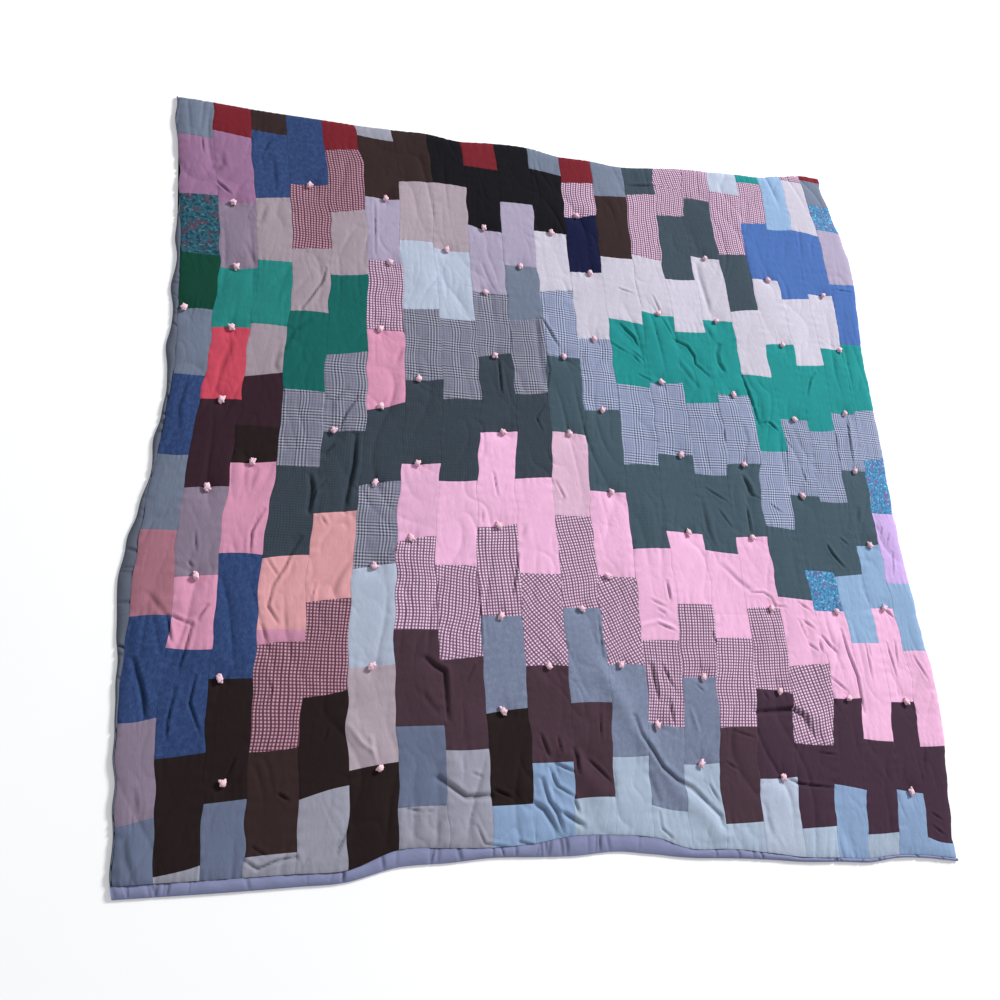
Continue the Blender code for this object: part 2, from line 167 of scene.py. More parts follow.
# Each crease's route from point to point: strips across, then centimetres down.
CREASES = {
    "deep": (
        "11.6 123, 11.8 126.5, 12.1 129.5, 12.4 133, 12.8 135.5, 13.2 137, 13.6 140, 13.9 142.5, 13.9 144",
        "6.7 111.5, 6.9 113, 7.1 114, 7.1 118, 7.1 122.5", "15 123, 16 122.5, 16.3 124, 16.5 128",
        "15.4 35.5, 15.3 38, 15.3 40.5, 15.4 42.5", "9 138, 9.3 139.5, 9.5 142, 9.6 144",
        "9.2 134, 9.4 138, 9.6 140, 9.7 143", "9.7 140, 10 141.5, 10.2 142.5", "12.2 113, 12.3 120",
        "0.2 111.5, 0.5 116, 0.6 118, 0.7 121", "3.8 76, 3.9 78.5, 3.9 83.5", "15.5 70, 15.6 72, 15.7 74.5",
        "6.8 133, 7.1 134.5, 7.4 136.5, 7.7 136.5, 8 136.5", "4.8 66.5, 4.8 73, 4.7 83",
        "10 129, 10.1 130.5, 10.1 133",
    ),
    "sharp": (
        "1 9.5, 1.3 12", "3.9 28, 3.8 31, 3.5 36, 3.3 38.5", "4.8 58, 4.5 62, 4.4 65", "4.3 69, 4.1 71",
        "8.6 46, 8.6 54", "10 34.5, 10.1 36, 10.4 41", "12.3 33, 12.7 36.5, 12.8 38.5", "13.1 -8.5, 14 -10",
        "13.9 35.5, 14.3 37, 14.5 39.5, 14.5 41.5, 14.9 44.5", "16 43, 16 48, 16.1 56",
        "16.5 55.5, 16.8 57.5", "18.6 40.5, 18.4 42.5, 18.2 47", "19.6 52, 19.5 57, 19.5 64.5",
        "9 90.5, 8.9 95.5, 8.8 99", "15.5 77.5, 15.5 83.5", "18 86, 18.1 88, 18.4 91",
        "2.9 83.5, 2.7 88, 2.7 92.5", "1 104, 1.5 105.5", "1.8 102, 1.6 104.5",
        "3.8 88.5, 3.6 92, 3.5 94.5, 3.3 98, 3.2 102, 3.4 105",
        "1.5 105, 1.4 109.5, 1.3 113.5", "1.3 116.5, 1.2 122, 1.2 125", "1.7 114.5, 1.6 119, 1.9 124",
        "0.9 104, 1.1 108.5", "17 107, 17.2 109, 17.4 110.5", "15.8 136.5, 16.1 137.5, 17 138.5",
        "17.7 105.5, 17.8 110.5, 18 116, 18.1 123.5", "10.4 131, 10.6 132.5, 10.9 135", "9.2 126, 9.4 130",
        "9.4 132, 9.6 135.5, 10 137.5", "9.6 131.5, 10 133", "10 138, 10.1 140", "12.5 113, 12.7 117.5",
        "12.6 120, 12.7 125", "12.8 95.5, 12.8 99.5", "8.1 135.5, 8.5 137", "19.5 100, 19.9 102.5",
        "3.6 134.5, 3.8 135.5", "3 144.5, 3.3 146, 3.6 145, 4 144.5", "5 141, 4.8 144.5",
        "16.9 108, 16.9 110.5",
    ),
    "thin": (
        "0.7 -1.5, 0.7 2.5", "2.6 -4.5, 2.3 0, 2.3 2.5", "5.3 8.5, 5.2 23", "10 43, 10.1 47, 10 51.5",
        "9.9 56, 9.6 59.5, 9.7 62.5", "12.4 23, 12.8 24", "13.4 24, 13.6 28.5", "20.2 14.5, 20.8 14.5",
        "12 38.5, 12.4 40.5", "12.6 41, 12.8 43", "12.7 46, 13.1 47.5", "13.6 30, 13.9 35", "19 57, 19 64",
        "17.5 67, 17.6 70.5", "10.1 74, 10.3 77.5, 10.2 78.5", "8.1 81.5, 8.1 84", "8 97, 8 99.5",
        "6 90.5, 5.7 93", "14.6 78.5, 14.9 82.5", "16.3 76.5, 16.6 78.5", "20.6 87, 20.5 89.5, 20.4 92.5",
        "4.2 77, 4 79, 3.9 83.5", "3.1 93, 3.4 96.5", "3.1 105.5, 3.2 108", "4.2 97.5, 4.1 101",
        "4.2 84.5, 4.3 86", "2.8 84, 2.7 87", "1.4 88.5, 1.5 92", "1.3 94, 1.4 95", "2.7 128.5, 2.6 130.5",
        "3.3 115, 3.4 117, 3.3 120", "3.1 142.5, 3.4 144", "4.6 124, 4.5 126", "4.9 141.5, 4.8 143.5",
        "16.5 103.5, 16.6 108", "16.6 103.5, 16.8 105.5", "16.6 99.5, 16.9 101.5", "18.5 109, 18.5 116.5",
        "19.3 108.5, 19.4 116", "20.4 111.5, 20.7 116.5", "16.6 131.5, 17.1 132", "20.2 144.5, 20.6 146",
        "20.2 147, 20.7 149", "8 95, 8 104, 8 109", "10.7 122.5, 10.7 127", "10.9 103, 10.9 111.5",
        "12.3 99.5, 12.7 101", "12.5 101.5, 12.7 102.5", "13.5 111, 13.5 113.5, 13.6 115.5",
        "13.9 106, 14 108.5", "13.4 117, 13.6 118.5", "14.4 126.5, 14.9 128", "14.2 132.5, 14.5 134",
        "13.7 136.5, 13.9 139.5", "7.6 141.5, 7.8 144.5, 8.4 145.5", "8.6 144.5, 9 145.5",
        "6.2 138, 6.5 138.5", "6.6 138.5, 6.7 138.5", "12.2 141, 12.2 144, 12.5 146", "9.6 126.5, 9.7 129.5",
        "7.6 132.5, 7.8 133", "8.4 73, 8.5 78", "7.8 113, 7.6 116", "12.6 40, 12.9 42",
        "16.2 56, 16.5 55.5", "15.7 74.5, 16 75.5", "14.3 73.5, 14.9 76.5", "15 58.5, 15 61.5",
        "17 59.5, 17.2 62", "15.2 97.5, 15.6 97.5, 15.8 98.5", "15.8 98.5, 15.9 100.5, 16.2 100.5",
        "16.6 108.5, 16.8 110.5", "17 116, 17.5 119", "18.6 109, 18.6 111.5", "19.7 108, 19.6 113",
        "20.6 82.5, 20.4 85", "20.3 81, 20.2 82.5", "18.5 84, 18.7 85.5", "12.5 104.5, 12.9 106",
        "15.2 119, 15.3 120.5",
    ),
    "soft": (
        "1.2 2.5, 1.2 5, 1 7", "1.7 24.5, 1.9 29", "2.6 1, 2.6 9", "2.3 14, 2.1 19", "1.5 48.5, 1.4 55.5",
        "2.9 47, 2.8 52.5, 2.9 54.5", "3.5 41, 3.2 44, 3 48.5", "4.5 56.5, 4.2 59.5, 4.2 63",
        "0.5 58, 0.4 64, 0.5 68", "5.9 46, 5.8 49.5", "9.8 35.5, 9.8 43, 9.9 51",
        "15.2 12.5, 15.2 16.5, 15.3 23.5, 15.3 26.5", "15.1 31, 15.2 34", "14 42, 14.3 45.5, 14.5 48",
        "15.6 57, 15.7 61, 15.5 66", "14.1 76, 14.2 83.5, 14.3 87", "9.2 84.5, 9.1 87",
        "19.4 76.5, 19.3 79.5", "5 92, 4.7 97, 4.6 99.5", "2.6 75.5, 2.5 79", "0.4 100, 0.9 104",
        "0.2 140, 0.3 143, 0.5 146",
        "14.5 91.5, 14.9 95, 15.2 97", "12 134, 12.2 139", "15.1 141, 15.2 147", "20.2 131, 20.1 136",
        "17 120, 17.1 122.5", "6.6 118, 6.9 121.5", "0.5 133, 0.6 136",
    ),
    "ridge": (
        "5.1 123.5, 5.3 126.5, 5.5 128, 5.6 131", "5.5 125.5, 5.5 128", "13.2 122, 13.4 126.5",
        "12 105, 12.5 104, 12.9 105.5",
    ),
}

# Yarn ties by strip: the row seams that they hold, in centimetres down. Each < or > after a
# seam moves its tie one step to the left or right.
TIE_STEP = 0.12
TIES = {
    1: "41.4<<<",
    2: "14.3< 30.5< 44.9 61.2 79.6 96.7",
    3: "73.9 115.0<< 132.4",
    4: "6.7",
    5: "66.0<<",
    6: "7.3> 24.4> 41.6< 59.7< 76.9< 94.0 113.0 131.0>",
    7: "52.7< 72.0< 88.0<",
    8: "18.8<",
    9: "11.4 28.9< 45.0 63.6> 84.7 103.4 121.5<",
    10: "20.7 113.2",
    11: "9.8 43.7 62.7 101.6",
    12: "3.7< 19.7> 38.0 56.3 75.8> 94.6<< 113.1<",
    13: "125.0<<",
    14: "29.0 47.5< 65.8> 84.4> 115.7> 132.6",
    16: "10.4 28.8 49.1 67.1 84.8 101.0>> 118.8> 136.0>",
    18: "14.5> 33.5> 54.2 73.9< 101.4>> 120.5",
    20: "16.8> 32.8>>> 51.2 66.7 85.5 100.6 121.5> 140.1",
}


class Cloth(Enum):
    """The scraps that the quilt is pieced from, each with its own bolt of cloth; the shaded ones are darker
    copies of another bolt, with painted shade for the dimmer left strips.
    """

    SLATE = "slate"
    STEEL = "steel"
    MAUVE = "mauve"
    PAISLEY = "paisley"
    FOREST = "forest"
    DENIM = "denim"
    ROSE = "rose"
    HEATHER = "heather"
    RED = "red"
    CORAL = "coral"
    JADE = "jade"
    SPRUCE = "spruce"
    GREEN = "green"
    PLUM = "plum"
    DAMSON = "damson"
    EARTH = "earth"
    BROWN = "brown"
    COCOA = "cocoa"
    BLACK = "black"
    NAVY = "navy"
    ROYAL = "royal"
    LILAC = "lilac"
    ORCHID = "orchid"
    BLUSH = "blush"
    PINK = "pink"
    DUSTY = "dusty"
    PEACH = "peach"
    TAUPE = "taupe"
    BEIGE = "beige"
    ASH = "ash"
    PALE = "pale"
    ICE = "ice"
    SKY = "sky"
    POWDER = "powder"
    CREAM = "cream"
    CHAMBRAY = "chambray"
    FLORAL = "floral"
    SUITING = "suiting"
    WORSTED = "worsted"
    TWEED = "tweed"
    PLAID = "plaid"
    GLEN = "glen"
    MADDER = "madder"
    CHECK = "check"


# The cutting list: each strip's patches from the top, with the place of each lower seam in
# centimetres down, or of its left and right ends. The last patch runs to the bottom edge.
# "@" turns a patch's grain, in degrees, and each "-" after a cloth makes the patch a step darker
# than the bolt.
CUTTING_LIST = {
    1: "slate -1.6, mauve 13.7/13.1, paisley 28.3, forest 41.6/41.2, slate 56.4, denim 73.3, slate 88.3,"
       " rose 104.2/103.9, denim 122.2/121.4, heather 138.3/137.2, steel",
    2: "red -3.9/-3.4, mauve 14.7/14.0, heather 31.0/30.1, jade 45.3/44.6, coral 61.5/60.9,"
       " damson 80.0/79.2, heather 97.0/96.4, blush 109.6/109.9, denim 128.1/127.3, earth 146.1/144.8, ash",
    3: "brown -5.9, denim 12.4/10.8, taupe 28.1/27.5, jade 43.4, taupe 55.7/54.2, damson 66.3,"
       " earth 74.3/73.5, blush 92.4, denim 115.0, earth 135.5/135.0, steel",
    4: "denim 7.2/6.0, madder 24.2/22.9, taupe 39.5/39.0, spruce 57.8, plaid 74.3, suiting 93.1/92.1,"
       " peach 106.5, blush-- 109.2/108.5, madder 127.5/126.9, brown 144.1/143.8, ash",
    5: "red -3.6/-5.2, madder@3 13.2/11.2, taupe 29.4/28.1, spruce 49.1/47.2, plaid 66.4/65.7,"
       " suiting 83.9/82.9, peach 101.2/100.2, madder 118.5/117.2, earth 135.6/133.6, ash",
    6: "ash -9.5, brown 7.5/7.0, lilac 24.4, check 41.7, blush 60.9/58.4, suiting 77.7/76.1,"
       " plaid 94.7/93.2, ice 113.4/112.7, beige 131.2/130.0, earth",
    7: "brown 1.6/0.5, beige 18.2/17.4, ice 35.9/34.9, plaid 53.2/52.2, suiting 72.3/71.7,"
       " pink- 88.9/87.3, check 106.2, cocoa 123.9, steel 137.8, ash",
    8: "black 0.4, beige 18.8, ice 28, ice 37.2/36.7, plaid 56.9/56.4, suiting 75.6/75.1, pink 93.3,"
       " check@-12 112.0/111.2, cocoa 128.3, ash",
    9: "red -6.0/-6.2, black 11.0/12.0, lilac 28.9, plaid 45.9/44.1, suiting 64.1/63.1, pink 85.2/84.1,"
       " check@6 103.4, chambray 122.0/121.1, earth 138.3, powder",
    10: "black 3.1/2.5, lilac 20.9/20.4, slate 35.3/34.2, plaid@3 54.0/53.0, suiting 74.2/73.3,"
        " pink 94.5, check@36 113.2, cocoa 131.2, powder",
    11: "slate -8.7/-7.9, black 10.0/9.6, cream 26.9/25.4, glen@-4 43.6, worsted 62.5/62.9, dusty 81.7,"
        " check@7 101.6, chambray 120.4, cocoa 137.9, pale",
    12: "red -5.8/-7.2, check 4.7/2.6, navy 20.2/19.2, cream 38.4/37.7, glen 56.8/55.8, worsted 75.8,"
        " pink 94.4/94.8, check@24 113.1, chambray 130.7, pale",
    13: "slate -3.4/-4.7, brown 14.4/14.0, cream 31.8/32.6, green 49.1/49.4, glen 69.2/68.8,"
        " worsted 88.6/88.2, pink 108.1, check 124.3/125.6, chambray 139.7/141.3, pale",
    14: "tweed -5.3/-7.2, check 12.5/13.2, cream 28.8/29.2, green 47.9/47.2, glen 66.0/65.7,"
        " worsted 84.2/84.6, pink 100.3, check 115.7, chambray 132.6, pale",
    15: "check@20 -10.0, check -0.7/-1.6, tweed 18.4/17.5, cream 33.4/32.5, green 52.5/51.5, glen 70.1,"
        " worsted 88.2/88.9, pink 102.5, pink 107.6, check 125.9, cocoa 144.0, pale",
    16: "check -7.5, tweed 10.4, cream 29.1/28.6, green 49.3/48.8, glen 67.3/66.7, worsted 85.0/84.5,"
        " pink 101.0, check 118.2/119.4, plum 136.0, ice",
    17: "ice -11.3, check 8.7/7.5, tweed 25.7/24.1, cream 43.0/43.2, green 63.3/62.7, glen 81.9/82.6,"
        " worsted 98.3/99.1, pink 113.6/113.1, check@14 129.3/130.1, plum 145.8, pale",
    18: "green -16.1/-16.5, check -2.5/-3.9, royal 14.8/14.2, cream 33.9/33.0, green 54.3/54.1,"
        " glen 73.9, worsted 92.1/92.4, floral 101.4, pink 120.5, plum 137.8/139.3, powder",
    19: "sky -2.0/-3.2, royal 19.9/18.5, cream 39.0/38.0, green 57.0/56.1, glen 75.1,"
        " worsted 93.4/92.6, sky 108.6, pink 129.0/129.8, plum 147.8, pale",
    20: "check -19.4, cream -3.1/-2.3, royal 17.0/16.5, cream 33.0/32.5, green 51.3/51.0, glen 66.7,"
        " worsted 85.8/85.2, sky 100.6, pink 121.5, plum 139.5/140.6, powder",
    21: "red -21, slate -12.6, floral -4.5, lilac 12.9/12.0, royal 31.0, green 50.4/49.5,"
        " glen 63.6/62.7, floral 77.4, orchid 94.5, sky 110.4, pink- 131.1, plum 149.2/150.9, powder",
}


# ---- smooth tables ----
def smooth(stations: list[float], values: list[float], places: np.ndarray) -> np.ndarray:
    """Read a smooth curve through a table's values.

    Args:
        stations: The table's places, in rising order.
        values: The value at each station.
        places: Where to read the curve.

    Returns:
        The curve's value at each place.
    """
    at = np.asarray(stations, float)
    known = np.asarray(values, float)
    slopes = np.gradient(known, at)
    places = np.clip(places, at[0], at[-1])
    span = np.clip(np.searchsorted(at, places, side="right") - 1, 0, len(at) - 2)
    step = at[span + 1] - at[span]
    t = (places - at[span]) / step
    rise = known[span + 1] - known[span]
    low = slopes[span] * step
    high = slopes[span + 1] * step
    return known[span] + low * t + (3 * rise - 2 * low - high) * t**2 + (low + high - 2 * rise) * t**3


def smoothstep(low: float, high: float, value: np.ndarray) -> np.ndarray:
    """Ease from 0 at low to 1 at high."""
    t = np.clip((value - low) / (high - low), 0, 1)
    return t * t * (3 - 2 * t)


@dataclass
class Lay:
    """How the flat quilt lies on the floor."""

    strip_count: int = 21
    strip_width: float = 0.0825
    gap: float = 0.0003
    wobble: float = 0.0011
    wobble_lengths: tuple[float, ...] = (0.19, 0.075)
    wobble_seed: int = 70
    samples: int = 400          # how many places on each edge are looked at to centre the lay
    left_ends: tuple[float, float] = (-0.12, 1.47)      # metres down, at the cloth's left corners
    right_ends: tuple[float, float] = (-0.23, 1.535)
    centre: np.ndarray = field(default_factory=lambda: np.zeros(2))

    def edge(self, name: str, across: np.ndarray) -> np.ndarray:
        """Read one of the edge table's columns.

        Args:
            name: The column: top, bottom or binding.
            across: Places across the quilt, in strips.

        Returns:
            Metres down, or the binding's depth.
        """
        which = EDGE_COLUMNS.index(name)
        return smooth([row[0] for row in EDGES], [row[which] for row in EDGES], across)

    def cloth_bottom(self, across: np.ndarray) -> np.ndarray:
        """Where the pieced cloth enters the bottom binding, in metres down."""
        return self.edge("bottom", across) - self.edge("binding", across)

    def left_binding(self, down: np.ndarray) -> np.ndarray:
        """How much of the left binding shows, in metres."""
        return smooth([row[0] for row in LEFT_BINDING], [row[1] for row in LEFT_BINDING], down)

    def drift(self, across: np.ndarray, down: np.ndarray) -> np.ndarray:
        """How far right the cloth lies of its straight place.

        Args:
            across: Places across the quilt, in strips.
            down: Places down the quilt, in metres.

        Returns:
            Metres to the right.
        """
        stations = [row[0] for row in DRIFT]
        by_seam = np.array([smooth(stations, [row[1 + i] for row in DRIFT], down)
                            for i in range(len(DRIFT_SEAMS))])
        seams = np.array(DRIFT_SEAMS, float)
        place = np.clip(across, 0, self.strip_count)
        span = np.clip(np.searchsorted(seams, place, side="right") - 1, 0, len(seams) - 2)
        ease = smoothstep(0, 1, (place - seams[span]) / (seams[span + 1] - seams[span]))
        pick = np.arange(by_seam.shape[1])
        return MILLIMETRE * (by_seam[span, pick] * (1 - ease) + by_seam[span + 1, pick] * ease)

    def place(self, across: np.ndarray, down: np.ndarray) -> tuple[np.ndarray, np.ndarray]:
        """Where places on the quilt lie on the floor.

        Args:
            across: Places across the quilt, in strips.
            down: Places down the quilt, in metres.

        Returns:
            The x and y of each place, in the part's frame.
        """
        across, down = np.broadcast_arrays(np.asarray(across, float), np.asarray(down, float))
        shift = self.drift(across.ravel(), down.ravel()).reshape(across.shape)
        flat = across * self.strip_width
        for seed, length in enumerate(self.wobble_lengths):
            shift = shift + self.wobble * Waves(length, self.wobble_seed + seed).at(flat, down)
        return flat + shift - self.centre[0], -down - self.centre[1]

    @staticmethod
    def ties(strip: int) -> list[tuple[float, float]]:
        """Where a strip's ties are, as (across, down), each on the seam that it holds."""
        places = []
        for entry in TIES[strip].split():
            steps = entry.count(">") - entry.count("<")
            places.append((strip - 0.5 + steps * TIE_STEP, float(entry.rstrip("<>")) * CENTIMETRE))
        return places

    def centre_on(self, node: str) -> None:
        """Shift the lay so that the pieced cloth's box matches its CAD node's.

        Args:
            node: The pieced cloth's node.
        """
        low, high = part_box(node)
        across = np.linspace(0, self.strip_count, self.samples)
        x_left, _ = self.place(0, np.linspace(*self.left_ends, self.samples))
        x_right, _ = self.place(self.strip_count, np.linspace(*self.right_ends, self.samples))
        _, y_top = self.place(across, self.edge("top", across))
        _, y_low = self.place(across, self.cloth_bottom(across))
        self.centre = np.array([0.5 * (x_left.min() + x_right.max() - low.x - high.x),
                                0.5 * (y_low.min() + y_top.max() - low.y - high.y)])


@dataclass(frozen=True)
class Waves:
    """A smooth random field with one main wavelength and a spread of about 1."""

    length: float
    seed: int
    spread: float = math.pi     # how far its waves turn from running left to right
    count: int = 8
    shortest: float = 0.75      # its waves' lengths, as shares of the main one
    longest: float = 1.35

    def at(self, x: np.ndarray, y: np.ndarray) -> np.ndarray:
        """Read the field at places on the floor."""
        rng = np.random.default_rng(self.seed)
        total = np.zeros(np.shape(x))
        for _ in range(self.count):
            turn = rng.uniform(-self.spread, self.spread)
            pitch = 2 * math.pi / (self.length * rng.uniform(self.shortest, self.longest))
            phase = rng.uniform(0, 2 * math.pi)
            total = total + np.cos(pitch * (x * math.cos(turn) + y * math.sin(turn)) + phase)
        return total / math.sqrt(self.count / 2)


@dataclass(frozen=True)
class Crumple:
    """Flat cloth parted by narrow wandering creases, mostly upright, stronger in some places."""

    length: float
    rise: float
    spread: float
    seed: int
    stretch: float = 0.55       # the pattern's pitch across the quilt, as a share of that down it
    wander: float = 0.22        # how far the creases stray, and how often, in their own lengths
    wander_length: float = 2.3
    patch_length: float = 4.0   # the size of the rough places, in the same measure
    patch_ends: tuple[float, float] = (-0.5, 1.6)
    waves: int = 5
    calm: float = 0.15          # the share of the rise in the calmest places
    rough: float = 1.3          # what the roughest places add to it
    level: float = 0.45         # how high the flats stand, where a crease is 1 deep
    sharpness: float = 2.2

    def at(self, x: np.ndarray, y: np.ndarray) -> np.ndarray:
        """Height of the crumple at places on the floor."""
        tall = self.stretch * y
        bend = self.wander * self.length * Waves(self.wander_length * self.length, self.seed).at(x, tall)
        wave = Waves(2 * self.length, self.seed + 1, self.spread, self.waves).at(x + bend, tall + bend)
        field_of_patches = Waves(self.patch_length * self.length, self.seed + 2)
        patchy = smoothstep(*self.patch_ends, field_of_patches.at(x, y))
        crease = np.exp(-self.sharpness * np.abs(wave))
        return self.rise * (self.calm + self.rough * patchy) * (self.level - crease)


@dataclass(frozen=True)
class CreaseSection:
    """A sharp crease cut across: a groove under a lip of cloth that leans over it.

    Places are half widths from the groove's middle, above 0 on its far right side.
    """

    far_wall: float = 1.35      # the far wall turns from the light, and is the steeper one
    near_wall: float = 0.85
    far_lip: tuple[float, float, float] = (1.0, 1.7, 1.5)       # a lip's height, place and width
    near_lip: tuple[float, float, float] = (0.4, -2.0, 1.4)
    start: float = 0.10         # where along a half wave the crease's own ends lie
    reach: float = 0.80
    blunt: float = 0.7          # below 1 keeps the crease strong for longer

    def fade(self, along: np.ndarray) -> np.ndarray:
        """How strong the crease is along its route, from 0 to 1."""
        return np.sin(math.pi * np.clip(self.start + self.reach * along, 0, 1)) ** self.blunt

    def groove(self, place: np.ndarray) -> np.ndarray:
        """The groove's depth at places, from 0 to 1."""
        return np.exp(-(place * np.where(place > 0, self.far_wall, self.near_wall)) ** 2)

    def lips(self, place: np.ndarray) -> np.ndarray:
        """The lips' height at places, from 0 to 1."""
        far, near = (height * np.exp(-((place - middle) / width) ** 2)
                     for height, middle, width in (self.far_lip, self.near_lip))
        return np.where(place > 0, far, near)


def read_route(text: str) -> Route:
    """Read one route of the crease table, as places in (across, down)."""
    points = (point.split() for point in text.split(","))
    return tuple((float(across), float(down) * CENTIMETRE) for across, down in points)


@dataclass
class Relief:
    """The face's height: filling, folds, creases, ties and small wrinkles."""

    lay: Lay
    loft: float = 0.0072
    turned_edge: float = 0.0036
    bound_edge: float = 0.0052
    edge_reach: float = 0.022
    tie_dimple: float = 0.0034
    tie_reach: float = 0.020
    tie_extent: float = 5.0     # in reaches, how far out from a tie its dimple is worked out
    tie_pulls: int = 5
    pull_depth: float = 0.0013
    pull_strengths: tuple[float, float] = (0.4, 1.3)
    pull_start: tuple[float, float] = (0.001, 0.007)
    pull_width: float = 0.0032
    pull_reach: float = 0.026
    roll_rise: float = 0.0009
    roll_length: float = 0.31
    roll_leans: tuple[float, float] = (0.4, 0.3)
    thinnest: float = 0.0026
    section: CreaseSection = CreaseSection()
    lip: float = 0.55           # how high a crease's lips stand, as a share of its depth
    full_shade_depth: float = 3.5   # millimetres, at which a crease's painted shade is as dark as it gets
    crumples: tuple[Crumple, ...] = (
        Crumple(0.080, 0.0026, 0.75, 100),
        Crumple(0.040, 0.0016, 0.95, 200),
        Crumple(0.022, 0.0006, math.pi, 300),
    )

    def route_distance(self, route: Route, x: np.ndarray, y: np.ndarray) -> tuple[np.ndarray, np.ndarray]:
        """Measure how far places are from a fold's route.

        Args:
            route: The route's corners, as (across, down).
            x: The places' x.
            y: The places' y.

        Returns:
            The distance in metres, above 0 on the far right side of the route, and how far along
            the route the nearest point is, from 0 to 1.
        """
        corners = [self.lay.place(*corner) for corner in route]
        nearest = np.full(x.shape, np.inf)
        along = np.zeros(x.shape)
        for leg, ((ax, ay), (bx, by)) in enumerate(zip(corners, corners[1:])):
            dx, dy = bx - ax, by - ay
            t = np.clip(((x - ax) * dx + (y - ay) * dy) / (dx * dx + dy * dy), 0, 1)
            off_x, off_y = x - ax - t * dx, y - ay - t * dy
            side = np.where(FAR_RIGHT[0] * off_x + FAR_RIGHT[1] * off_y >= 0, 1.0, -1.0)
            distance = side * np.hypot(off_x, off_y)
            closer = np.abs(distance) < np.abs(nearest)
            nearest = np.where(closer, distance, nearest)
            along = np.where(closer, (leg + t) / (len(corners) - 1), along)
        return nearest, along

    def folds(self, x: np.ndarray, y: np.ndarray) -> np.ndarray:
        """Height of the main soft folds at each place."""
        height = np.zeros(x.shape)
        for rise, half_width, route in FOLDS:
            distance, _ = self.route_distance(route, x, y)
            height += MILLIMETRE * rise * np.exp(-(distance / (MILLIMETRE * half_width)) ** 2)
        return height

    def creases(self, x: np.ndarray, y: np.ndarray) -> tuple[np.ndarray, np.ndarray]:
        """The sharp creases of the crease table.

        Args:
            x: The places' x.
            y: The places' y.

        Returns:
            The creases' height, and how deep in a groove each place is, from 0 to 1.
        """
        height = np.zeros(x.shape)
        groove = np.zeros(x.shape)
        for kind, routes in CREASES.items():
            depth, half_width = CREASE_KINDS[kind]
            for text in routes:
                distance, along = self.route_distance(read_route(text), x, y)
                place = distance / (MILLIMETRE * half_width)
                fade = self.section.fade(along)
                line = self.section.groove(place) * fade
                height -= MILLIMETRE * depth * (line - self.lip * self.section.lips(place) * fade)
                # This groove mask later paints shade into the crease's colour.
                groove = np.maximum(groove, line**2 * depth / self.full_shade_depth)
        return height, np.clip(groove, 0, 1)

    def ties(self, x: np.ndarray, y: np.ndarray) -> np.ndarray:
        """The dimple at each tie, with the short pulls that fan out from it."""
        height = np.zeros(x.shape)
        for strip in TIES:
            for number, place in enumerate(self.lay.ties(strip)):
                tie_x, tie_y = self.lay.place(*place)
                near = np.hypot(x - tie_x, y - tie_y) < self.tie_extent * self.tie_reach
                dx, dy = x[near] - tie_x, y[near] - tie_y
                reach = np.hypot(dx, dy)
                dip = -self.tie_dimple * np.exp(-(reach / self.tie_reach) ** 2)
                rng = np.random.default_rng(100 * strip + number)
                for angle in rng.uniform(0, 2 * math.pi, self.tie_pulls):
                    ahead = dx * math.cos(angle) + dy * math.sin(angle)
                    aside = dy * math.cos(angle) - dx * math.sin(angle)
                    depth = self.pull_depth * rng.uniform(*self.pull_strengths)
                    depth = depth * smoothstep(*self.pull_start, ahead)
                    pull = np.exp(-(aside / self.pull_width) ** 2 - ahead / self.pull_reach)
                    dip -= depth * pull
                height[near] += dip
        return height

    def thinning(self, distance: np.ndarray, edge_height: float) -> np.ndarray:
        """Height lost near an edge, where the filling thins to the edge's own height."""
        t = np.clip(distance / self.edge_reach, 0, 1)
        return (self.loft - edge_height) * (1 - t) ** 2

    def face(self, across: np.ndarray, down: np.ndarray,
             limpness: np.ndarray | float = 0.0) -> tuple[np.ndarray, np.ndarray]:
        """Height of the quilt's face.

        Args:
            across: Places across the quilt, in strips.
            down: Places down the quilt, in metres.
            limpness: How much the cloth crumples at each place.

        Returns:
            Metres above the floor, and how deep in a sharp crease each place is, from 0 to 1.
        """
        x, y = self.lay.place(across, down)
        # The slow roll is the part's own, which is laid out before its box is centred.
        flat_x, flat_y = x + self.lay.centre[0], y + self.lay.centre[1]
        lean_y, lean_x = self.roll_leans
        height = self.loft + self.roll_rise * (
            np.sin(2 * math.pi * (flat_x + lean_y * flat_y) / self.roll_length)
            + np.cos(2 * math.pi * (flat_y - lean_x * flat_x) / self.roll_length))
        creases, groove = self.creases(x, y)
        height = height + self.folds(x, y) + creases + self.ties(x, y)
        height += limpness * sum(crumple.at(x, y) for crumple in self.crumples)
        width = self.lay.strip_width
        height -= self.thinning(across * width, self.bound_edge)
        height -= self.thinning((self.lay.strip_count - across) * width, self.turned_edge)
        height -= self.thinning(down - self.lay.edge("top", across), self.turned_edge)
        height -= self.thinning(self.lay.cloth_bottom(across) - down, self.bound_edge)
        return np.maximum(height, self.thinnest), groove


# ---- meshes ----
def show(name: str, data: bpy.types.ID) -> bpy.types.Object:
    """Put a mesh, a light or a camera into the scene as an object."""
    shown = bpy.data.objects.new(name, data)
    bpy.context.scene.collection.objects.link(shown)
    return shown


def write_map(mesh: bpy.types.Mesh, name: str, values: np.ndarray) -> None:
    """Write a UV map, with two values for each corner of the mesh."""
    mesh.uv_layers.new(name=name).uv.foreach_set("vector", values.astype(np.float32).ravel())


